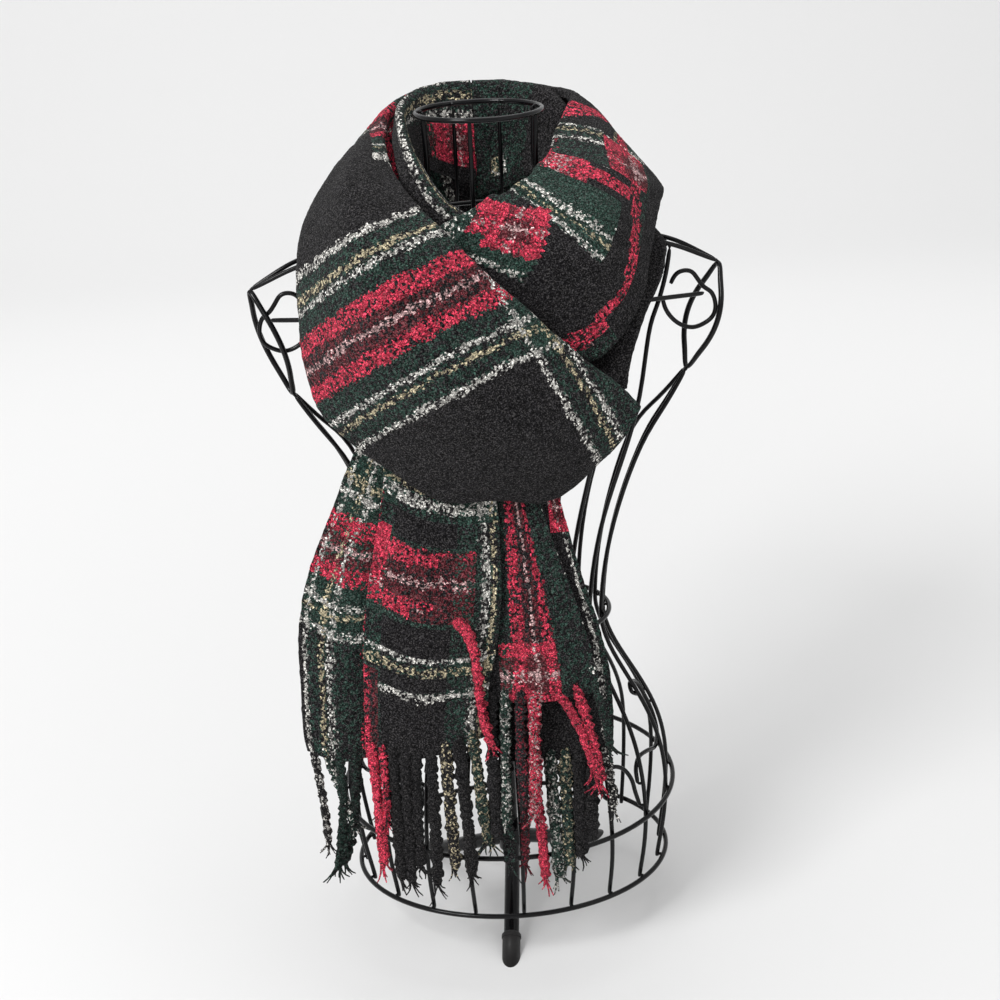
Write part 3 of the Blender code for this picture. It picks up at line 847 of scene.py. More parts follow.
# Each table has three points a row, each x, y, z in millimetres: the upper or inner edge, the crown
# and the lower or outer edge.  These rows run from the tip at the front right, over the left
# shoulder, to the middle of the back.
FRONT_LOOP = rows(
    107, -111, 500, 97, -120, 488, 82, -113, 468,
    86, -119, 521, 62, -134, 484, 39, -119, 438,
    61, -124, 542, 28, -146, 497, -3, -123, 443,
    38, -127, 563, -7, -152, 514, -45, -124, 446,
    20, -129, 582, -37, -155, 536, -80, -120, 469,
    2, -128, 599, -58, -153, 558, -110, -112, 492,
    -18, -125, 619, -79, -149, 582, -133, -104, 517,
    -39, -114, 643, -93, -140, 615, -143, -95, 551,
    -60, -90, 664, -104, -117, 648, -146, -77, 589,
    -75, -52, 684, -108, -76, 680, -141, -50, 640,
    -79, -12, 699, -99, -20, 696, -123, -10, 668,
    -78, 22, 706, -99, 22, 690, -119, 26, 636,
    -75, 56, 712, -100, 72, 674, -107, 77, 604,
    -50, 95, 720, -68, 120, 678, -70, 119, 598,
    -22, 108, 722, -32, 136, 677, -33, 131, 596,
    -0.7, 110, 722, -0.7, 139, 677, -0.7, 134, 596,
)
# From under the front loop, over the right shoulder, to the middle of the back.
CROSSING = rows(
    -38, -92, 644, -26, -98, 616, 2, -92, 566,
    -12, -88, 654, 6, -101, 612, 38, -99, 550,
    1, -81, 659, 31, -104, 612, 69, -100, 545,
    13, -76, 661, 55, -102, 617, 92, -96, 560,
    27, -68, 668, 77, -98, 632, 112, -84, 588,
    41, -57, 674, 88, -84, 651, 122, -64, 615,
    56, -36, 686, 96, -55, 672, 133, -32, 640,
    65, -6, 700, 97, -14, 692, 140, 6, 654,
    78, 26, 713, 105, 28, 698, 132, 36, 660,
    84, 58, 719, 105, 69, 692, 114, 79, 634,
    64, 89, 720, 88, 110, 680, 92, 112, 604,
    32, 105, 722, 44, 134, 677, 46, 129, 597,
    0.7, 110, 722, 0.7, 139, 677, 0.7, 134, 596,
)
# From under the tip of the front loop, under the crossing, to the middle of the back.
RIGHT_LOOP = rows(
    70, -84, 500, 86, -92, 506, 98, -94, 512,
    74, -80, 524, 90, -87, 530, 103, -89, 535,
    79, -74, 552, 99, -81, 555, 113, -78, 560,
    84, -62, 582, 108, -66, 582, 129, -60, 585,
    90, -46, 612, 114, -44, 606, 137, -43, 602,
    86, -27, 638, 108, -26, 632, 139, -27, 616,
    76, 2, 656, 98, 6, 657, 124, 12, 630,
    62, 24, 672, 80, 34, 698, 102, 44, 650,
    48, 46, 668, 62, 56, 723, 80, 70, 676,
    24, 62, 656, 32, 76, 729, 42, 92, 686,
    0.7, 66, 650, 0.7, 80, 730, 0.7, 97, 690,
)
# From under the crossing at the front, up round the left of the neck, to the middle of the back.
NECK_ROLL = rows(
    4, -64, 628, -6, -71, 625, -18, -72, 606,
    -12, -66, 646, -21, -75, 648, -36, -76, 632,
    -27, -61, 655, -38, -71, 664, -52, -70, 650,
    -39, -50, 668, -50, -58, 682, -62, -55, 670,
    -50, -32, 682, -58, -36, 700, -66, -33, 690,
    -57, -4, 692, -61, -5, 717, -67, -4, 703,
    -54, 26, 684, -59, 29, 723, -64, 34, 702,
    -38, 50, 668, -45, 59, 728, -54, 70, 698,
    -18, 62, 656, -24, 75, 730, -32, 90, 690,
    -0.7, 66, 650, -0.7, 80, 730, -0.7, 97, 690,
)
# Down from behind the front loop, with the left edge, the middle and the right edge in each row.
TAIL_LEFT_BACK = rows(
    -98, -97, 510, -78, -104, 500, -58, -108, 496,
    -117, -93, 472, -96, -96.6, 456, -68, -94.5, 450,
    -131, -98, 442, -106, -104, 426, -76, -100, 424,
    -148, -102, 406, -120, -109, 392, -84, -104, 388,
    -163, -106, 370, -132, -114, 354, -92, -109, 352,
    -171, -110, 330, -140, -118, 314, -98, -114, 312,
    -173, -115, 290, -142, -123, 275, -102, -119, 276,
    -174, -120, 250, -144, -127, 240, -106, -124, 242,
    -172, -123, 230, -145, -130, 222, -108, -126, 224,
)
TAIL_LEFT_FRONT = rows(
    -60, -135, 556, -38, -143, 546, -12, -140, 540,
    -76, -116, 514, -47, -127, 500, -13, -126, 492,
    -92, -103.2, 472, -56, -109.3, 452, -8, -106, 446,
    -96, -106, 442, -57, -117.6, 422, -6, -112, 416,
    -104, -111, 408, -62, -122, 390, -6, -118, 384,
    -112, -117, 374, -68, -128, 356, -8, -123, 350,
    -118, -122, 338, -73, -133, 320, -13, -128, 316,
    -121, -127, 300, -77, -138, 284, -20, -131, 286,
    -123, -132, 260, -80, -142, 248, -25, -134.5, 256,
    -124, -135, 230, -81, -144, 226, -26, -136.5, 238,
)
TAIL_RIGHT_BACK = rows(
    4, -79.5, 578, 20, -83.5, 571, 34, -86, 564,
    4, -80.6, 564, 20, -84.8, 556, 34, -87, 550,
    3, -86, 520, 20, -89, 516, 36, -86, 514,
    2, -89, 470, 24, -92, 466, 40, -89, 464,
    0, -93, 436, 28, -96, 432, 44, -92, 428,
    -3, -97, 398, 28, -100, 396, 52, -96, 394,
    -6, -102, 360, 30, -105, 358, 61, -101, 356,
    -10, -107, 320, 32, -110, 318, 72, -106, 318,
    -14, -112, 280, 34, -115, 278, 79, -110, 280,
    -16, -117, 240, 35, -120, 238, 81, -114, 240,
    -16, -121, 206, 36, -124, 204, 80, -118, 206,
)
TAIL_RIGHT_FRONT = rows(
    -8, -118, 520, 6, -122, 518, 18, -119, 516,
    -10, -101, 470, 8, -107, 468, 22, -104, 466,
    -11, -98.7, 436, 10, -105.2, 432, 27, -101.2, 430,
    -14, -104.4, 402, 13, -111.4, 400, 36, -105.2, 396,
    -18, -110.2, 366, 16, -117.2, 366, 47, -111.2, 362,
    -22, -116, 330, 19, -124, 330, 58, -117, 326,
    -24, -122, 292, 22, -130, 292, 66, -122, 290,
    -24, -127, 266, 23, -134, 264, 69, -126, 266,
)

# The crossing's red square stands across the stretch, because the cloth is twisted there.
RED_LEAN = (0.538, -1.576)

STRETCHES: tuple[ClothStretch, ...] = (
    ClothStretch(
        "front_loop", FRONT_LOOP, cut=(0.16, 0.6), rests_on="scarf_crossing", lip=6,
        weave=FlatWeave((-64.4, 591.0), (27.0, -58.0), 1.09, 0.52),
        folds=(
            Fold((0.1, 0.45), (0.34, 0.4), 2.2, 16),
            Fold((0.5, 0.3), (0.62, 0.62), -2, 10),
            Fold((0.56, 0.75), (0.7, 0.55), 2, 10),
        ),
        patches=(
            Patch(
                along=(0.58, 128, 0.61, 124, 0.64, 101, 0.67, 87, 0.7, 68, 0.72, 62, 0.86, 36),
                across=(0, 150, 0.17, 190),
            ),
        ),
    ),
    ClothStretch(
        "crossing", CROSSING, cut=(0.13, 0.43), rests_on="scarf_right_loop", lip=6,
        weave=HungWeave(
            along=(
                0, 150, 0.465, 220, 0.467, 128.5, 0.5, 122, 0.502, 160, 0.58, 180, 0.582, 85, 0.64, 72,
                0.642, 150, 1, 260,
            ),
            across=(
                0, 88, 0.1, 100, 0.102, 150, 0.733, 220, 0.735, 42, 0.83, 54, 0.832, 88, 1, 100,
            ),
            sway=(0.1, -0.06, 0.2, 0, 0.26, 0.02, 0.39, 0.125, 0.5, 0.2),
            skew=0.12,
        ),
        folds=(
            Fold((0.2, 0.15), (0.3, 0.62), 3, 9),
            Fold((0.3, 0.2), (0.38, 0.6), -2.5, 7),
            Fold((0.44, 0.1), (0.56, 0.8), 2.2, 9),
        ),
        patches=(
            Patch(
                along=(
                    0.222, 131, 0.23, 128, 0.242, 122, 0.248, 113, 0.258, 108.5, 0.266, 105, 0.28, 100,
                    0.34, 88,
                ),
                across=(0, 88, 0.56, 100),
            ),
            Patch((0, 104, 0.1, 100, 0.36, 90), (-0.18, 88, 0.26, 99, 0.33, 106), lean=RED_LEAN),
            Patch((0.19, 44, 0.36, 85), (-0.18, 42, 0.18, 86), lean=RED_LEAN),
            Patch((0.11, 42, 0.2, 50), (-0.18, 42, 0.08, 74), lean=RED_LEAN),
            Patch((0.34, 75, 0.41, 86.5), (0, 58, 0.3, 72)),
            Patch((0.355, 76, 0.385, 86), (0.3, 130, 0.62, 180)),
            Patch((0.395, 150, 0.46, 180), (0.05, 88, 0.45, 100)),
            Patch((0.46, 131, 0.468, 128, 0.478, 124, 0.495, 113, 0.51, 109, 0.52, 104), (0, 140, 0.45, 160)),
            Patch((0.4, 52, 0.51, 86), (0.45, 42, 0.76, 70)),
            Patch((0.18, 150, 0.62, 230), (0.8, 140, 1, 200)),
            Patch((0.585, 75, 0.615, 86), (0, 140, 0.4, 160)),
        ),
    ),
    ClothStretch(
        "right_loop", RIGHT_LOOP, cut=(0.075, 0.33), rests_on="shoulder_front_right", thickness=5.6, lip=4,
        weave=HungWeave(
            along=(0, 150, 1, 260),
            across=(0, 130, 1, 200),
        ),
        patches=(
            Patch((0.84, 140, 1, 180), (0, 88, 0.46, 100)),
            Patch((0.9, 100, 0.92, 105, 0.95, 113), (0.08, 100, 0.13, 113)),
        ),
    ),
    ClothStretch(
        "neck_roll", NECK_ROLL, cut=(0.06, 0.27), rests_on="ring_neck", thickness=5.4,
        weave=HungWeave(
            along=(0, 260, 1, 140),
            across=(
                0, 150, 0.34, 180, 0.342, 96, 0.38, 101, 0.46, 105.5, 0.5, 109, 0.57, 113, 0.61, 124,
                0.68, 128.5, 1, 160,
            ),
        ),
        patches=(
            Patch((0.8, 98, 0.84, 86, 1, 50), (0.08, 43, 0.36, 86)),
        ),
    ),
    Tail(
        "tail_left_back", TAIL_LEFT_BACK, cut=(0.066, 0.3), rests_on="scarf_front_loop",
        weave=HungWeave(
            along=(
                0, -25, 0.12, 0, 0.26, 27, 0.305, 41.5, 0.488, 87, 0.545, 101, 0.59, 113.5, 0.62, 124,
                0.64, 128.5, 1, 210,
            ),
            across=(
                0, -8, 0.05, 0, 0.1, 4.5, 0.267, 17.5, 0.361, 25.5, 0.39, 27.5, 0.72, 41.5, 1, 58,
            ),
        ),
    ),
    Tail(
        "tail_left_front", TAIL_LEFT_FRONT, cut=(0.09, 0.33), rests_on="scarf_front_loop",
        weave=HungWeave(
            along=(
                0, -90, 0.3, 3, 0.36, 25.5, 0.385, 27.5, 0.4, 34, 0.402, 150, 0.46, 200, 0.462, 38,
                0.473, 41.5, 0.645, 87, 0.66, 94, 0.662, 150, 0.735, 180, 0.737, 101, 0.75, 104,
                0.771, 111, 0.79, 114, 0.792, 150, 0.825, 170, 0.827, 124, 0.845, 128.5, 1, 165,
            ),
            across=(
                0, 88, 0.13, 98, 0.132, 140, 0.63, 250, 0.632, 41, 0.84, 27.5, 0.9, 23.5, 0.95, 17.5,
                1, 13,
            ),
        ),
        folds=(
            Fold((0.3, 0.25), (0.62, 0.3), 2, 8),
            Fold((0.3, 0.55), (0.5, 0.62), -2, 6),
            Fold((0.32, 0.8), (0.85, 0.86), 2.2, 6),
        ),
        patches=(
            Patch((0.45, 41.5, 0.6, 64), (0, 76, 0.1, 87)),
            # These two patches read the warp in the bark stripes in place of the crimson ones, across the
            # middle and right of the tail, so that part is darker red.
            Patch(
                along=(
                    0.473, 54.5, 0.487, 56, 0.489, 45, 0.508, 53, 0.51, 54.5, 0.551, 61.9, 0.553, 62.6,
                    0.561, 65.5, 0.563, 66.5, 0.6, 74, 0.602, 75.5, 0.62, 80, 0.622, 66.5, 0.648, 74,
                ),
                across=(0.32, 180, 0.54, 228),
            ),
            Patch((0.473, 54.5, 0.55, 61.9, 0.552, 66.5, 0.648, 74), (0.5, 221, 0.63, 250, 0.632, 41, 0.8, 32)),
            Patch((0.46, 150, 0.66, 175), (0.78, 33.5, 0.84, 27.5, 0.9, 25, 0.93, 20, 1, 13)),
            Patch((0.8, 140, 1, 180), (0, 51, 0.04, 54.5, 0.1, 60)),
        ),
    ),
    Tail(
        "tail_right_back", TAIL_RIGHT_BACK, cut=(0.07, 0.38), rests_on="scarf_crossing",
        weave=HungWeave(
            along=(0, 260, 1, 150),
            across=(0, 140, 0.86, 230, 0.87, 272, 0.95, 282, 1, 292),
        ),
        patches=(
            Patch((0.34, 40, 0.47, 86), (0.7, 44, 1, 84)),
        ),
    ),
    Tail(
        "tail_right_front", TAIL_RIGHT_FRONT, cut=(0.06, 0.26), rests_on="scarf_tail_right_back",
        weave=HungWeave(
            along=(0, 250, 1, 140),
            across=(
                0, 236, 0.14, 250, 0.142, 32, 0.28, 41.5, 0.5, 64, 0.66, 87, 0.8, 96, 1, 100,
            ),
        ),
        folds=(
            Fold((0.3, 0.3), (0.75, 0.38), 2, 6),
            Fold((0.28, 0.6), (0.7, 0.72), -1.6, 6),
        ),
        patches=(
            Patch((0.8, 84, 1, 50), (0.13, 32, 0.3, 44, 0.5, 64, 0.66, 85)),
        ),
    ),
)


# ------------------------------------------------------------------ tassels


def sweep(
    shape: BMesh, path: np.ndarray, radii: np.ndarray, sides: int, dyes: tuple[Dye, Dye], tone: float
) -> None:
    """Extrudes a closed tube along a path in metres.

    Args:
        shape: The bmesh that the tube is added to, with the yarn's layers on its points.
        path: The tube's middle line, one row for each ring.
        radii: The tube's radius at each ring.
        sides: How many sides the tube has.
        dyes: The colour of its yarn and the colour of its flecks.
        tone: How light the yarn is.
    """
    layers = [shape.verts.layers.float_color[name] for name in YARN_LAYERS]
    ring = bmesh.ops.create_circle(shape, cap_ends=False, segments=sides, radius=1.0)["verts"]
    flat = [vert.co.copy() for vert in ring]
    bottom = edges = list({edge for vert in ring for edge in vert.link_edges})
    for step, (middle, way, radius) in enumerate(zip(path, np.gradient(path, axis=0), radii)):
        if step:
            grown = bmesh.ops.extrude_edge_only(shape, edges=edges)["geom"]
            ring = [item for item in grown if isinstance(item, BMVert)]
            lines = (item for item in grown if isinstance(item, BMEdge))
            edges = [line for line in lines if all(vert in ring for vert in line.verts)]
        turn = Vector(way).to_track_quat("Z", "Y").to_matrix()
        for vert, place in zip(ring, flat):
            vert.co = Vector(middle) + turn @ (place * float(radius))
            for layer, dye in zip(layers, dyes):
                vert[layer] = [tone * part for part in dye.value[:3]] + [1.0]
    for rim in (bottom, edges):
        bmesh.ops.edgeloop_fill(shape, edges=rim)


@dataclass
class Tassel:
    """One twisted tassel: two plies wound round each other, with frayed ends."""

    path: np.ndarray
    width: float
    dyes: tuple[Dye, Dye]
    chance: np.random.Generator
    ring_gap: float = 3.2 * MM  # length of ply between two of its rings
    turn: float = 15 * MM  # length of tassel that one full twist takes
    sides: tuple[int, int] = (7, 4)  # of a ply and of a loose end
    offset: float = 0.2  # how far a ply lies from the middle, in shares of the width
    ply_radius: float = 0.38  # in shares of the width
    wobble: float = 0.25  # how much that offset varies
    waves: tuple[float, float] = (60, 140)  # its pace is drawn from this range
    swell: float = 0.16  # how much a ply's radius swells
    beats: tuple[float, float] = (1.2, 2.4)  # its pace is drawn from this range
    rough: float = 0.14  # how much a ply's radius differs from ring to ring
    tones: tuple[float, float] = (0.75, 1.3)  # how light a tassel's yarn may be
    root_taper: tuple[float, ...] = (0.3, 0.55, 0.8, 0.95)
    tip_taper: tuple[float, ...] = (0.8, 0.45)
    loose_ends: int = 4
    end_length: float = 13 * MM
    end_share: tuple[float, float] = (0.5, 1.1)  # how much of that length a loose end has
    spread: Point = (0.55, 0.275, 0.11)
    end_radii: tuple[float, float] = (1.3 * MM, 0.5 * MM)  # of a loose end's root and of its tip

    def ply(self, middle: np.ndarray, phase: float) -> np.ndarray:
        """Winds one ply round the tassel.

        Args:
            middle: The tassel's middle line.
            phase: The angle at which the ply starts.

        Returns:
            The ply's middle line.
        """
        ways = unit(np.gradient(middle, axis=0))
        side = unit(np.cross(ways, (0.0, 1.0, 0.0)))
        run = run_along(middle)
        angle = (phase + math.tau * run / self.turn)[:, None]
        reach = self.offset * self.width * (1 + self.wobble * np.sin(run * self.chance.uniform(*self.waves)))
        return middle + reach[:, None] * (np.cos(angle) * side + np.sin(angle) * np.cross(side, ways))

    def build(self, shape: BMesh) -> None:
        """Adds the plies and their loose ends.

        Args:
            shape: The piece's bmesh.
        """
        middle = smooth_rows(self.path, max(6, round(run_along(self.path)[-1] / self.ring_gap)))
        start = self.chance.uniform(0, math.tau)
        tone = self.chance.uniform(*self.tones)
        for phase in (start, start + math.pi):
            line = self.ply(middle, phase)
            lumps = 1 + self.swell * np.sin(np.arange(len(line)) * self.chance.uniform(*self.beats))
            radii = self.ply_radius * self.width * lumps
            radii *= 1 + self.chance.uniform(-self.rough, self.rough, len(line))
            radii[: len(self.root_taper)] *= self.root_taper
            radii[-len(self.tip_taper) :] *= self.tip_taper
            sweep(shape, line, radii, self.sides[0], self.dyes, tone)
            self.fray(shape, line, tone)

    def fray(self, shape: BMesh, line: np.ndarray, tone: float) -> None:
        """Adds the loose ends of one ply.

        Args:
            shape: The piece's bmesh.
            line: The ply's middle line.
            tone: How light the yarn is.
        """
        down = unit(line[-1] - line[-3])
        for _ in range(self.loose_ends):
            spread = self.chance.uniform(-1, 1, 3) * self.spread
            length = self.end_length * self.chance.uniform(*self.end_share)
            knee, tip = line[-1] + (down + spread) * 0.5 * length, line[-1] + (down + 1.3 * spread) * length
            path = smooth_rows(np.array([line[-3], line[-2] + spread * 2 * MM, knee, tip]), 6)
            sweep(shape, path, np.linspace(*self.end_radii, 6), self.sides[1], self.dyes, tone)


def spin(name: str, node: str, seed: int, tassels: list, yarn: Material) -> None:
    """Spins tassels into one piece.

    Args:
        name: The piece's name.
        node: The CAD node that it stands for.
        seed: Where its random draws start.
        tassels: Each tassel's middle line, its width in millimetres and its dyes.
        yarn: The piece's material.
    """
    chance = np.random.default_rng(seed)
    shape = bmesh.new()
    for layer in YARN_LAYERS:
        shape.verts.layers.float_color.new(layer)
    for path, width, dyes in tassels:
        Tassel(path, width * MM, dyes, chance).build(shape)
    bmesh.ops.recalc_face_normals(shape, faces=shape.faces)
    add_piece(name, shape, yarn, "boucle_tartan", node)
    LOG.info("%s: %d tassels", name, len(tassels))


@dataclass
class Fringe:
    """The tassels along one hem."""

    name: str
    tail: np.ndarray
    hang_y: float
    seed: int
    strands: tuple[tuple[float, float, float, float, float, Dye, Dye], ...]
    hem: float = 11.0  # how far above the hem's line a tassel is rooted
    trim: float = 4.5  # how much of a tassel's length its loose ends make up
    lead: float = 1.6  # how soon a tassel reaches the plane that it hangs in

    def path(self, place: float, bulge: float, drift: float, length: float) -> np.ndarray:
        """The middle line of one tassel.

        Args:
            place: The share of the hem before the tassel.
            bulge: How far its middle lies to the right of its root.
            drift: How far its tip lies to the right of its root.
            length: Its length.

        Returns:
            Points from the hem to the tip in metres.
        """
        root = smooth_rows(self.tail[-1], 101)[round(place * 100)]
        part = np.linspace(0, 1, 7)
        sideways = drift * part + (bulge - drift / 2) * 4 * part * (1 - part)
        forwards = (self.hang_y - root[1]) * np.minimum(1.0, self.lead * part)
        down = self.hem - part * (self.hem + length - self.trim)
        return (root + np.stack([sideways, forwards, down], 1)) * MM

    def build(self, yarn: Material) -> None:
        """Builds the fringe in the given yarn."""
        tassels = [(self.path(*strand[:4]), strand[4], strand[5:]) for strand in self.strands]
        spin("tassels_" + self.name, "fringe_" + self.name, self.seed, tassels, yarn)


# Columns: place along the hem, shift of the middle, shift of the tip, length, width, two dyes.
FRINGES: tuple[Fringe, ...] = (
    Fringe(
        "left_back", TAIL_LEFT_BACK, -122, 11,
        (
            (0.07, 5, 7, 94, 7, Dye.CHARCOAL, Dye.WHITE),
            (0.27, 9, 19, 72, 8, Dye.BOTTLE, Dye.WHITE),
            (0.47, 0, -9, 112, 8, Dye.BOTTLE, Dye.BOTTLE),
            (0.66, -3, -17, 108, 9, Dye.BOTTLE, Dye.CHARCOAL),
            (0.86, 1, 3, 60, 7, Dye.BOTTLE, Dye.CRIMSON),
        ),
    ),
    Fringe(
        "left_front", TAIL_LEFT_FRONT, -146, 12,
        (
            (0.055, 2, 3, 104, 9, Dye.CRIMSON, Dye.CRIMSON),
            (0.165, 1, -1, 60, 8, Dye.CRIMSON, Dye.CHARCOAL),
            (0.27, -1, 0, 116, 10, Dye.CHARCOAL, Dye.CHARCOAL),
            (0.38, -2, -2, 118, 10.5, Dye.CHARCOAL, Dye.CHARCOAL),
            (0.485, -3, -3, 106, 10, Dye.CHARCOAL, Dye.CHARCOAL),
            (0.59, 0, -1, 124, 10, Dye.CHARCOAL, Dye.CHARCOAL),
            (0.695, 1, 3, 112, 10, Dye.CHARCOAL, Dye.CREAM),
            (0.8, 3, 5, 122, 11, Dye.CHARCOAL, Dye.CHARCOAL),
            (0.905, 4, 8, 96, 10, Dye.BOTTLE, Dye.CREAM),
        ),
    ),
    Fringe(
        "right_back", TAIL_RIGHT_BACK, -133, 13,
        (
            (0.05, -1, 0, 96, 11, Dye.CHARCOAL, Dye.BOTTLE),
            (0.17, 1, 0, 96, 8, Dye.WINE, Dye.CHARCOAL),
            (0.29, 1, 4, 112, 9, Dye.CRIMSON, Dye.CRIMSON),
            (0.41, 1, 3, 112, 11, Dye.BOTTLE, Dye.WHITE),
            (0.54, -1, -1, 100, 11, Dye.BOTTLE, Dye.CREAM),
            (0.67, -2, -2, 92, 13, Dye.CHARCOAL, Dye.CHARCOAL),
            (0.8, -3, -5, 74, 13, Dye.CHARCOAL, Dye.CHARCOAL),
            (0.93, 2, 4, 50, 8, Dye.CHARCOAL, Dye.WHITE),
        ),
    ),
    Fringe(
        "right_front", TAIL_RIGHT_FRONT, -146, 14,
        (
            (0.05, -2, -3, 122, 11, Dye.CHARCOAL, Dye.CHARCOAL),
            (0.17, -3, -6, 110, 10, Dye.BOTTLE, Dye.WHITE),
            (0.295, -2, -2, 96, 10, Dye.CHARCOAL, Dye.WINE),
            (0.42, -3, -5, 104, 11, Dye.CRIMSON, Dye.PINK),
            (0.6, 19, 29, 66, 8, Dye.CRIMSON, Dye.CRIMSON),
            (0.78, 11, 17, 78, 9, Dye.CRIMSON, Dye.WINE),
            (0.945, 7, 11, 48, 7, Dye.BOTTLE, Dye.CHARCOAL),
        ),
    ),
)


@dataclass
class LooseTassel:
    """The crimson tassel that has worked out of the hem and lies on the left tail."""

    line: tuple[Point, ...] = (
        (-47, -137.4, 344), (-40, -139.4, 338), (-33, -139.4, 322),
        (-30, -140.4, 294), (-28, -142.4, 262), (-22, -144.4, 232),
    )
    width: float = 9.0
    seed: int = 15

    def build(self, yarn: Material) -> None:
        """Builds the tassel.

        Args:
            yarn: The twisted yarn.
        """
        path = smooth_rows(np.array(self.line) * MM, 12)
        dyes = (Dye.CRIMSON, Dye.CRIMSON)
        spin("tassel_crimson", "tassel_loose", self.seed, [(path, self.width, dyes)], yarn)


# ------------------------------------------------------------------ wire form


@dataclass
class WireForm:
    """The welded wire cage, whose wires are drawn round from their solids."""

    levels: int = 2
    cage_radius: float = 1.2 * MM
    ring_radius: float = 1.35 * MM  # of the rings and the armhole caps
    shrink: float = 0.66  # how far subdivision draws in the corners of a four-sided tube
    steps: int = 3  # rounds in which a wire's sections are moved against that
    reach: float = 2.4 * MM  # how far a wire's end runs on into the wire that it is welded to
    reach_heights: tuple[float, float] = (60 * MM, 700 * MM)  # the ends between these run on
    rim: float = 0.4 * MM
    weld_gap: float = 3.1 * MM  # wires that pass closer than this are welded
    weld_spread: float = 14 * MM
    weld_bite: float = 0.4 * MM  # how far a weld runs on past the wires' middles
    weld_radius: float = 1.35 * MM
    weld_length: float = 1.15  # its least length each way, in shares of its radius
    weld_sizes: tuple[float, float] = (0.95, 1.1)
    seed: int = 21
    merge: float = 0.01 * MM  # points of a solid that are closer than this are one
    section: float = 1.25  # the longest side of a section, in shares of the usual one
    others: tuple[str, ...] = ("scarf_", "fringe_", "tassel_", "foot_", "tripod", "pole")

    def wires(self) -> list[str]:
        """The names of the CAD nodes that are wires."""
        return sorted(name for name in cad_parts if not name.startswith(self.others))

    def radius(self, node: str) -> float:
        """The radius of a wire as it shows."""
        thick = node.startswith("ring") or (node.startswith("cap_") and "scroll" not in node)
        return self.ring_radius if thick else self.cage_radius

    def tube(self, node: str) -> tuple[BMesh, float]:
        """Copies a wire's solid, with quads for sides.

        Args:
            node: The CAD node's name.

        Returns:
            The copy and the radius of its corners.
        """
        shape = bmesh.new()
        shape.from_mesh(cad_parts[node].data)
        bmesh.ops.remove_doubles(shape, verts=shape.verts, dist=self.merge)
        limits = {"angle_face_threshold": math.radians(30), "angle_shape_threshold": math.radians(60)}
        bmesh.ops.join_triangles(shape, faces=shape.faces, **limits)
        shape.normal_update()
        sides = sorted(edge.calc_length() for edge in shape.edges)
        return shape, sides[len(sides) // 4] / math.sqrt(2)

    def round_wire(self, node: str, material: Material) -> None:
        """Copies a wire's solid as a smooth round wire.

        Args:
            node: The CAD node's name.
            material: The enamel.
        """
        shape, corner = self.tube(node)
        self.straighten(shape, corner)
        shape.normal_update()
        ends = [face for face in shape.faces if all(len(vert.link_edges) == 3 for vert in face.verts)]
        ways = {vert: vert.normal.copy() for vert in shape.verts}
        for face in ends:
            for vert in face.verts:
                ways[vert] -= ways[vert].dot(face.normal) * face.normal
                ways[vert].normalize()
        for vert, way in ways.items():
            vert.co += way * (self.radius(node) / self.shrink - corner)
        low, high = self.reach_heights
        for face in ends:
            reach = self.reach if low < face.calc_center_median().z < high else self.rim
            way = face.normal.copy()
            for step in (reach, self.rim):
                face = bmesh.ops.extrude_discrete_faces(shape, faces=[face])["faces"][0]
                bmesh.ops.translate(shape, verts=face.verts, vec=way * step)
        made = add_piece("wire_" + node, shape, material, "black_enamel", node)
        smooth = made.modifiers.new("round", "SUBSURF")
        smooth.levels = smooth.render_levels = self.levels

    def sections(self, shape: BMesh, corner: float) -> tuple[list[list[BMVert]], list[Vector], set]:
        """Sorts a square tube's corners into its sections.

        Args:
            shape: The tube.
            corner: The radius of its corners.

        Returns:
            The corners of each section, the sections' middles and the pairs that are joined.
        """
        limit = self.section * math.sqrt(2) * corner
        number: dict[BMVert, int] = {}
        rings = []
        for vert in shape.verts:
            if vert in number:
                continue
            ring, waiting = [], [vert]
            number[vert] = len(rings)
            while waiting:
                here = waiting.pop()
                ring.append(here)
                for edge in here.link_edges:
                    other = edge.other_vert(here)
                    if edge.calc_length() < limit and other not in number:
                        number[other] = len(rings)
                        waiting.append(other)
            rings.append(ring)
        centres = [sum((vert.co for vert in ring), Vector()) / len(ring) for ring in rings]
        joins = {tuple(sorted(number[vert] for vert in edge.verts)) for edge in shape.edges}
        return rings, centres, {join for join in joins if join[0] != join[1]}

    def straighten(self, shape: BMesh, corner: float) -> None:
        """Moves a tube's sections so that the smoothed wire still runs through their middles.

        Args:
            shape: The tube.
            corner: The radius of its corners.
        """
        rings, centres, joins = self.sections(shape, corner)
        beside: list[list[int]] = [[] for _ in rings]
        for first, second in joins:
            beside[first].append(second)
            beside[second].append(first)
        moved = centres
        for _ in range(self.steps):
            drawn = list(centres)
            for place, near in enumerate(beside):
                if len(near) == 2:
                    drawn[place] = sum((moved[other] for other in near), 4 * moved[place]) / 6
            moved = [here + centre - there for here, centre, there in zip(moved, centres, drawn)]
        for ring, start, end in zip(rings, centres, moved):
            for vert in ring:
                vert.co += end - start

    def middles(self, node: str) -> np.ndarray:
        """Follows a wire's middle line.

        Args:
            node: The CAD node's name.

        Returns:
            Points every millimetre along it.
        """
        shape, corner = self.tube(node)
        _, centres, joins = self.sections(shape, corner)
        shape.free()
        points = []
        for join in sorted(joins):
            start, end = (np.array(centres[place]) for place in join)
            count = max(1, round(np.linalg.norm(end - start) / MM))
            points += [start + (end - start) * step / count for step in range(count + 1)]
        return np.array(points)

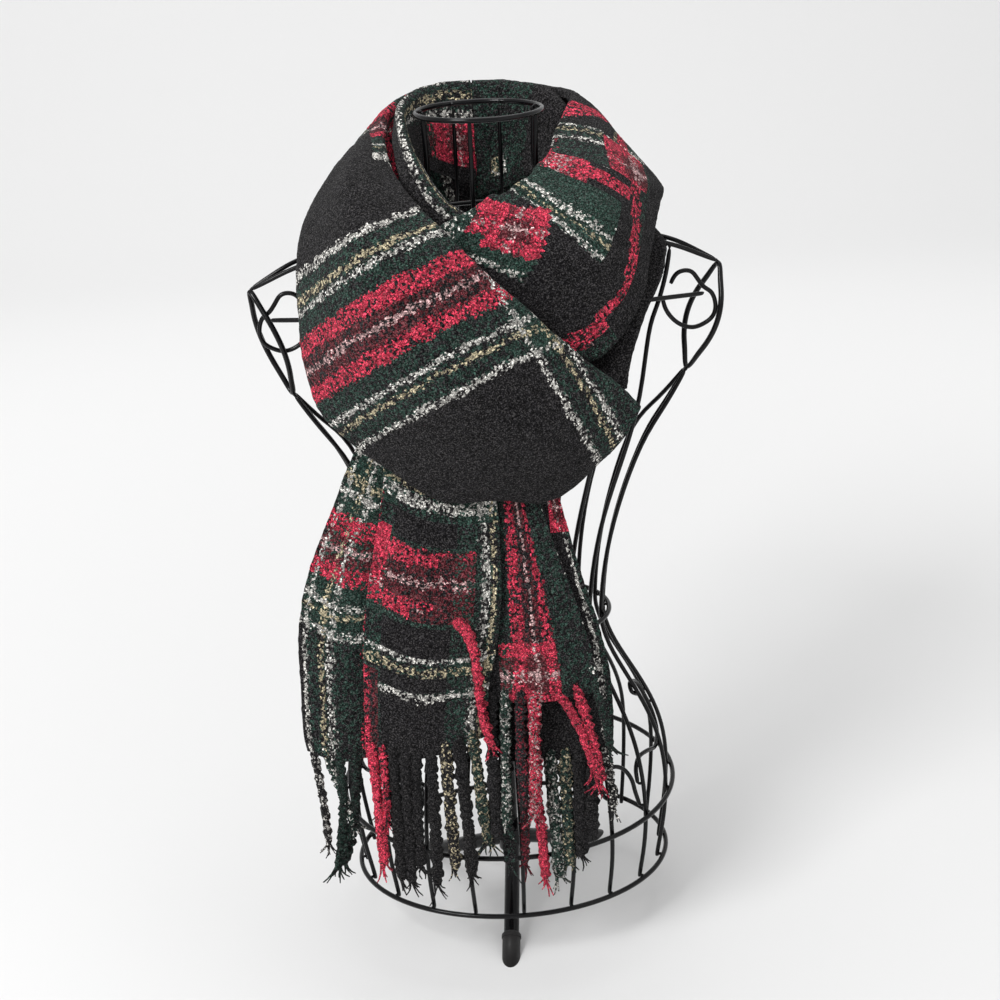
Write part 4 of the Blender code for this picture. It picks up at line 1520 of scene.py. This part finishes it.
    def crossings(self) -> list[tuple[np.ndarray, np.ndarray]]:
        """Finds where wires are welded.

        Returns:
            The nearest points of the two middle lines at each weld.
        """
        lines = {name: self.middles(name) for name in self.wires()}
        found = []
        for first, second in combinations(lines, 2):
            a, b = lines[first], lines[second]
            limit = self.radius(first) + self.radius(second) + self.weld_gap
            a = a[((a > b.min(axis=0) - limit) & (a < b.max(axis=0) + limit)).all(axis=1)]
            while len(a):
                gaps = np.linalg.norm(a[:, None] - b[None], axis=2)
                near = np.unravel_index(gaps.argmin(), gaps.shape)
                if gaps[near] > limit:
                    break
                found.append((a[near[0]], b[near[1]]))
                a = a[np.linalg.norm(a - a[near[0]], axis=1) > self.weld_spread]
        return found

    def build(self, material: Material) -> None:
        """Builds every wire, and the lumps of weld where they cross.

        Args:
            material: The enamel.
        """
        names = self.wires()
        for name in names:
            self.round_wire(name, material)
        chance = np.random.default_rng(self.seed)
        shape = bmesh.new()
        joints = self.crossings()
        for start, end in joints:
            made = bmesh.ops.create_icosphere(shape, subdivisions=2, radius=1.0)["verts"]
            way = Vector(end - start)
            turn = way.to_track_quat("Z", "Y").to_matrix()
            half = max(way.length / 2 + self.weld_bite, self.weld_length * self.weld_radius)
            size = Vector((self.weld_radius, self.weld_radius, half)) * chance.uniform(*self.weld_sizes)
            for vert in made:
                vert.co = Vector(start + end) / 2 + turn @ (vert.co * size)
        add_piece("wire_welds", shape, material, "black_enamel")
        LOG.info("wire form: %d wires, %d welds", len(names), len(joints))


@dataclass
class Stand:
    """The pole, the tripod's hub and legs, and the rubber feet."""

    hub: tuple[float, float] = (48 * MM, 72 * MM)  # heights of its two ends
    hub_radius: float = 13 * MM
    hub_rounding: float = 1.5 * MM
    pole: tuple[float, float] = (72.3 * MM, 646 * MM)
    pole_radius: float = 5 * MM
    leg_radius: float = 6.75 * MM
    rounding: float = 0.6 * MM  # of the pole's and the legs' rims
    foot_radius: float = 8 * MM
    foot_length: float = 22 * MM
    foot_rounding: float = 1.2 * MM
    collar: tuple[float, float] = (1.5 * MM, 5 * MM)  # where it starts and ends on the foot
    collar_rise: float = 0.7 * MM
    collar_rounding: float = 0.5 * MM
    legs: tuple[tuple[float, float], ...] = ((-7, 104 * MM), (135, 115 * MM), (-135, 115 * MM))

    def tube(self, shape: BMesh, start: Vector, end: Vector, radius: float, rounding: float) -> None:
        """Adds a closed tube with rounded rims.

        Args:
            shape: The bmesh that the tube is added to.
            start: The middle of its first end.
            end: The middle of its other end.
            radius: Its radius.
            rounding: How far its rims are rounded.
        """
        axis = end - start
        place = Matrix.Translation((start + end) / 2) @ axis.to_track_quat("Z", "Y").to_matrix().to_4x4()
        size = {"radius1": radius, "radius2": radius, "depth": axis.length}
        made = bmesh.ops.create_cone(shape, cap_ends=True, segments=32, matrix=place, **size)["verts"]
        edges = {edge for vert in made for edge in vert.link_edges}
        rims = [edge for edge in edges if any(len(face.verts) > 4 for face in edge.link_faces)]
        bmesh.ops.bevel(shape, geom=rims, offset=rounding, segments=3, affect="EDGES", profile=0.5, material=-1)

    def leg_lines(self) -> list[tuple[Vector, Vector, Vector]]:
        """Works out where the legs run.

        Returns:
            Each leg's top, the place where its foot starts and its point on the floor.
        """
        top = Vector((0, 0, sum(self.hub) / 2))
        lines = []
        for degrees, reach in self.legs:
            angle = math.radians(degrees)
            sole = reach * Vector((math.sin(angle), -math.cos(angle), 0))
            lines.append((top, sole - (sole - top).normalized() * self.foot_length, sole))
        return lines

    def build_foot(self, number: int, start: Vector, sole: Vector, rubber: Material) -> None:
        """Builds a rubber foot with a raised collar, cut off flat on the floor.

        Args:
            number: The foot's number.
            start: The middle of its upper end.
            sole: The point on the floor that it stands on.
            rubber: Its material.
        """
        shape = bmesh.new()
        along = (sole - start).normalized()
        self.tube(shape, start, sole + along * self.foot_length, self.foot_radius, self.foot_rounding)
        low, high = (start + along * place for place in self.collar)
        self.tube(shape, low, high, self.foot_radius + self.collar_rise, self.collar_rounding)
        parts = shape.verts[:] + shape.edges[:] + shape.faces[:]
        plane = {"plane_co": (0, 0, 0), "plane_no": (0, 0, -1)}
        cut = bmesh.ops.bisect_plane(shape, geom=parts, clear_outer=True, **plane)["geom_cut"]
        bmesh.ops.edgeloop_fill(shape, edges=[item for item in cut if isinstance(item, BMEdge)])
        add_piece(f"rubber_foot_{number}", shape, rubber, "black_rubber", f"foot_{number}")

    def build(self, enamel: Material, rubber: Material) -> None:
        """Builds the pole, the hub with its three legs, and the feet.

        Args:
            enamel: The material of the pole and the tripod.
            rubber: The material of the feet.
        """
        pole, tripod = bmesh.new(), bmesh.new()
        self.tube(pole, *(Vector((0, 0, height)) for height in self.pole), self.pole_radius, self.rounding)
        add_piece("stand_pole", pole, enamel, "black_enamel", "pole")
        self.tube(tripod, *(Vector((0, 0, height)) for height in self.hub), self.hub_radius, self.hub_rounding)
        for top, start, _ in self.leg_lines():
            self.tube(tripod, top, start, self.leg_radius, self.rounding)
        add_piece("stand_tripod", tripod, enamel, "black_enamel", "tripod")
        for number, (_, start, sole) in enumerate(self.leg_lines(), 1):
            self.build_foot(number, start, sole, rubber)
        LOG.info("stand: pole, tripod and %d feet", len(self.legs))


# ------------------------------------------------------------------ studio


@dataclass
class Studio:
    """A pale sweep of floor, soft lights and the camera."""

    floor_half: float = 4.0
    wall: float = 4.0  # its height
    sweep: float = 1.5  # how far the corner between them is rounded
    sweep_steps: int = 12
    lamps: tuple[tuple[str, Point, float, float], ...] = (
        ("key", (-1.7, -1.8, 2.5), 1.1, 76.0),
        ("fill", (2.2, -1.6, 1.6), 1.8, 5.0),
        ("top", (0.2, 0.6, 2.8), 1.8, 24.0),
    )  # name, place, size and power
    aim: Point = (0.0, 0.0, 0.4)
    daylight: float = 0.66
    camera_place: Point = (-0.0825, -1.4167, 0.9314)
    camera_turns: Point = (-3.4457, 20.8686, 2.7243)  # degrees round, down and rolled
    lens: float = 63.85
    film: float = 36.0

    def build_floor(self, material: Material) -> None:
        """Builds the floor with its back edge swept up.

        Args:
            material: The floor's paper.
        """
        shape = bmesh.new()
        bmesh.ops.create_grid(shape, x_segments=1, y_segments=1, size=self.floor_half)
        back = [edge for edge in shape.edges if all(vert.co.y > 0 for vert in edge.verts)]
        wall = bmesh.ops.extrude_edge_only(shape, edges=back)["geom"]
        verts = [item for item in wall if isinstance(item, BMVert)]
        bmesh.ops.translate(shape, verts=verts, vec=(0, 0, self.wall))
        size = {"offset": self.sweep, "segments": self.sweep_steps}
        bmesh.ops.bevel(shape, geom=back, affect="EDGES", profile=0.5, material=-1, **size)
        add_object("floor", shape, material)

    def build_light(self, name: str, place: Point, size: float, power: float) -> None:
        """Adds one soft square lamp that faces the scarf.

        Args:
            name: The lamp's name.
            place: Where it hangs.
            size: The length of its side.
            power: How strong it is, in watts.
        """
        lamp = bpy.data.lights.new(name, "AREA")
        lamp.size = size
        lamp.energy = power
        made = place_object(name, lamp)
        made.location = place
        made.rotation_euler = (Vector(self.aim) - Vector(place)).to_track_quat("-Z", "Y").to_euler()

    def build_camera(self) -> None:
        """Adds the camera that looks down at the front from a little left of the middle."""
        turn, tip, roll = (math.radians(angle) for angle in self.camera_turns)
        ahead = Vector((-math.sin(turn) * math.cos(tip), math.cos(turn) * math.cos(tip), -math.sin(tip)))
        right = ahead.cross(Vector((0, 0, 1))).normalized()
        up = right.cross(ahead)
        rolled_right = right * math.cos(roll) - up * math.sin(roll)
        rolled_up = up * math.cos(roll) + right * math.sin(roll)
        lens = bpy.data.cameras.new("camera")
        lens.lens = self.lens
        lens.sensor_width = self.film
        made = bpy.context.scene.camera = place_object("camera", lens)
        turned = Matrix((rolled_right, rolled_up, -ahead)).transposed().to_4x4()
        made.matrix_world = Matrix.Translation(self.camera_place) @ turned

    def build(self, material: Material) -> None:
        """Builds the whole studio.

        Args:
            material: The floor's paper.
        """
        self.build_floor(material)
        for lamp in self.lamps:
            self.build_light(*lamp)
        self.build_camera()
        world = bpy.data.worlds.new("studio")
        world.use_nodes = True
        colour, strength = world.node_tree.nodes["Background"].inputs[:2]
        colour.default_value = (1.0, 1.0, 1.0, 1.0)
        strength.default_value = self.daylight
        bpy.context.scene.world = world
        bpy.context.scene.view_settings.view_transform = "Standard"
        LOG.info("studio: floor, %d lamps and camera", len(self.lamps))


def main() -> None:
    """Builds every piece, in the order in which a maker would put the scarf on the form."""
    logging.basicConfig(level=logging.INFO, format="%(name)s: %(message)s")
    groups = Groups()
    enamel = ENAMEL.make(groups)
    WireForm().build(enamel)
    Stand().build(enamel, RUBBER.make(groups))
    boucle = BOUCLE.make(groups)
    yarn = YARN.make(groups)
    for stretch in STRETCHES:
        stretch.build(boucle)
    for fringe in FRINGES:
        fringe.build(yarn)
    LooseTassel().build(yarn)
    Studio().build(PaleFloor().make(groups))
    bpy.context.view_layer.update()


if __name__ == "__main__":
    main()
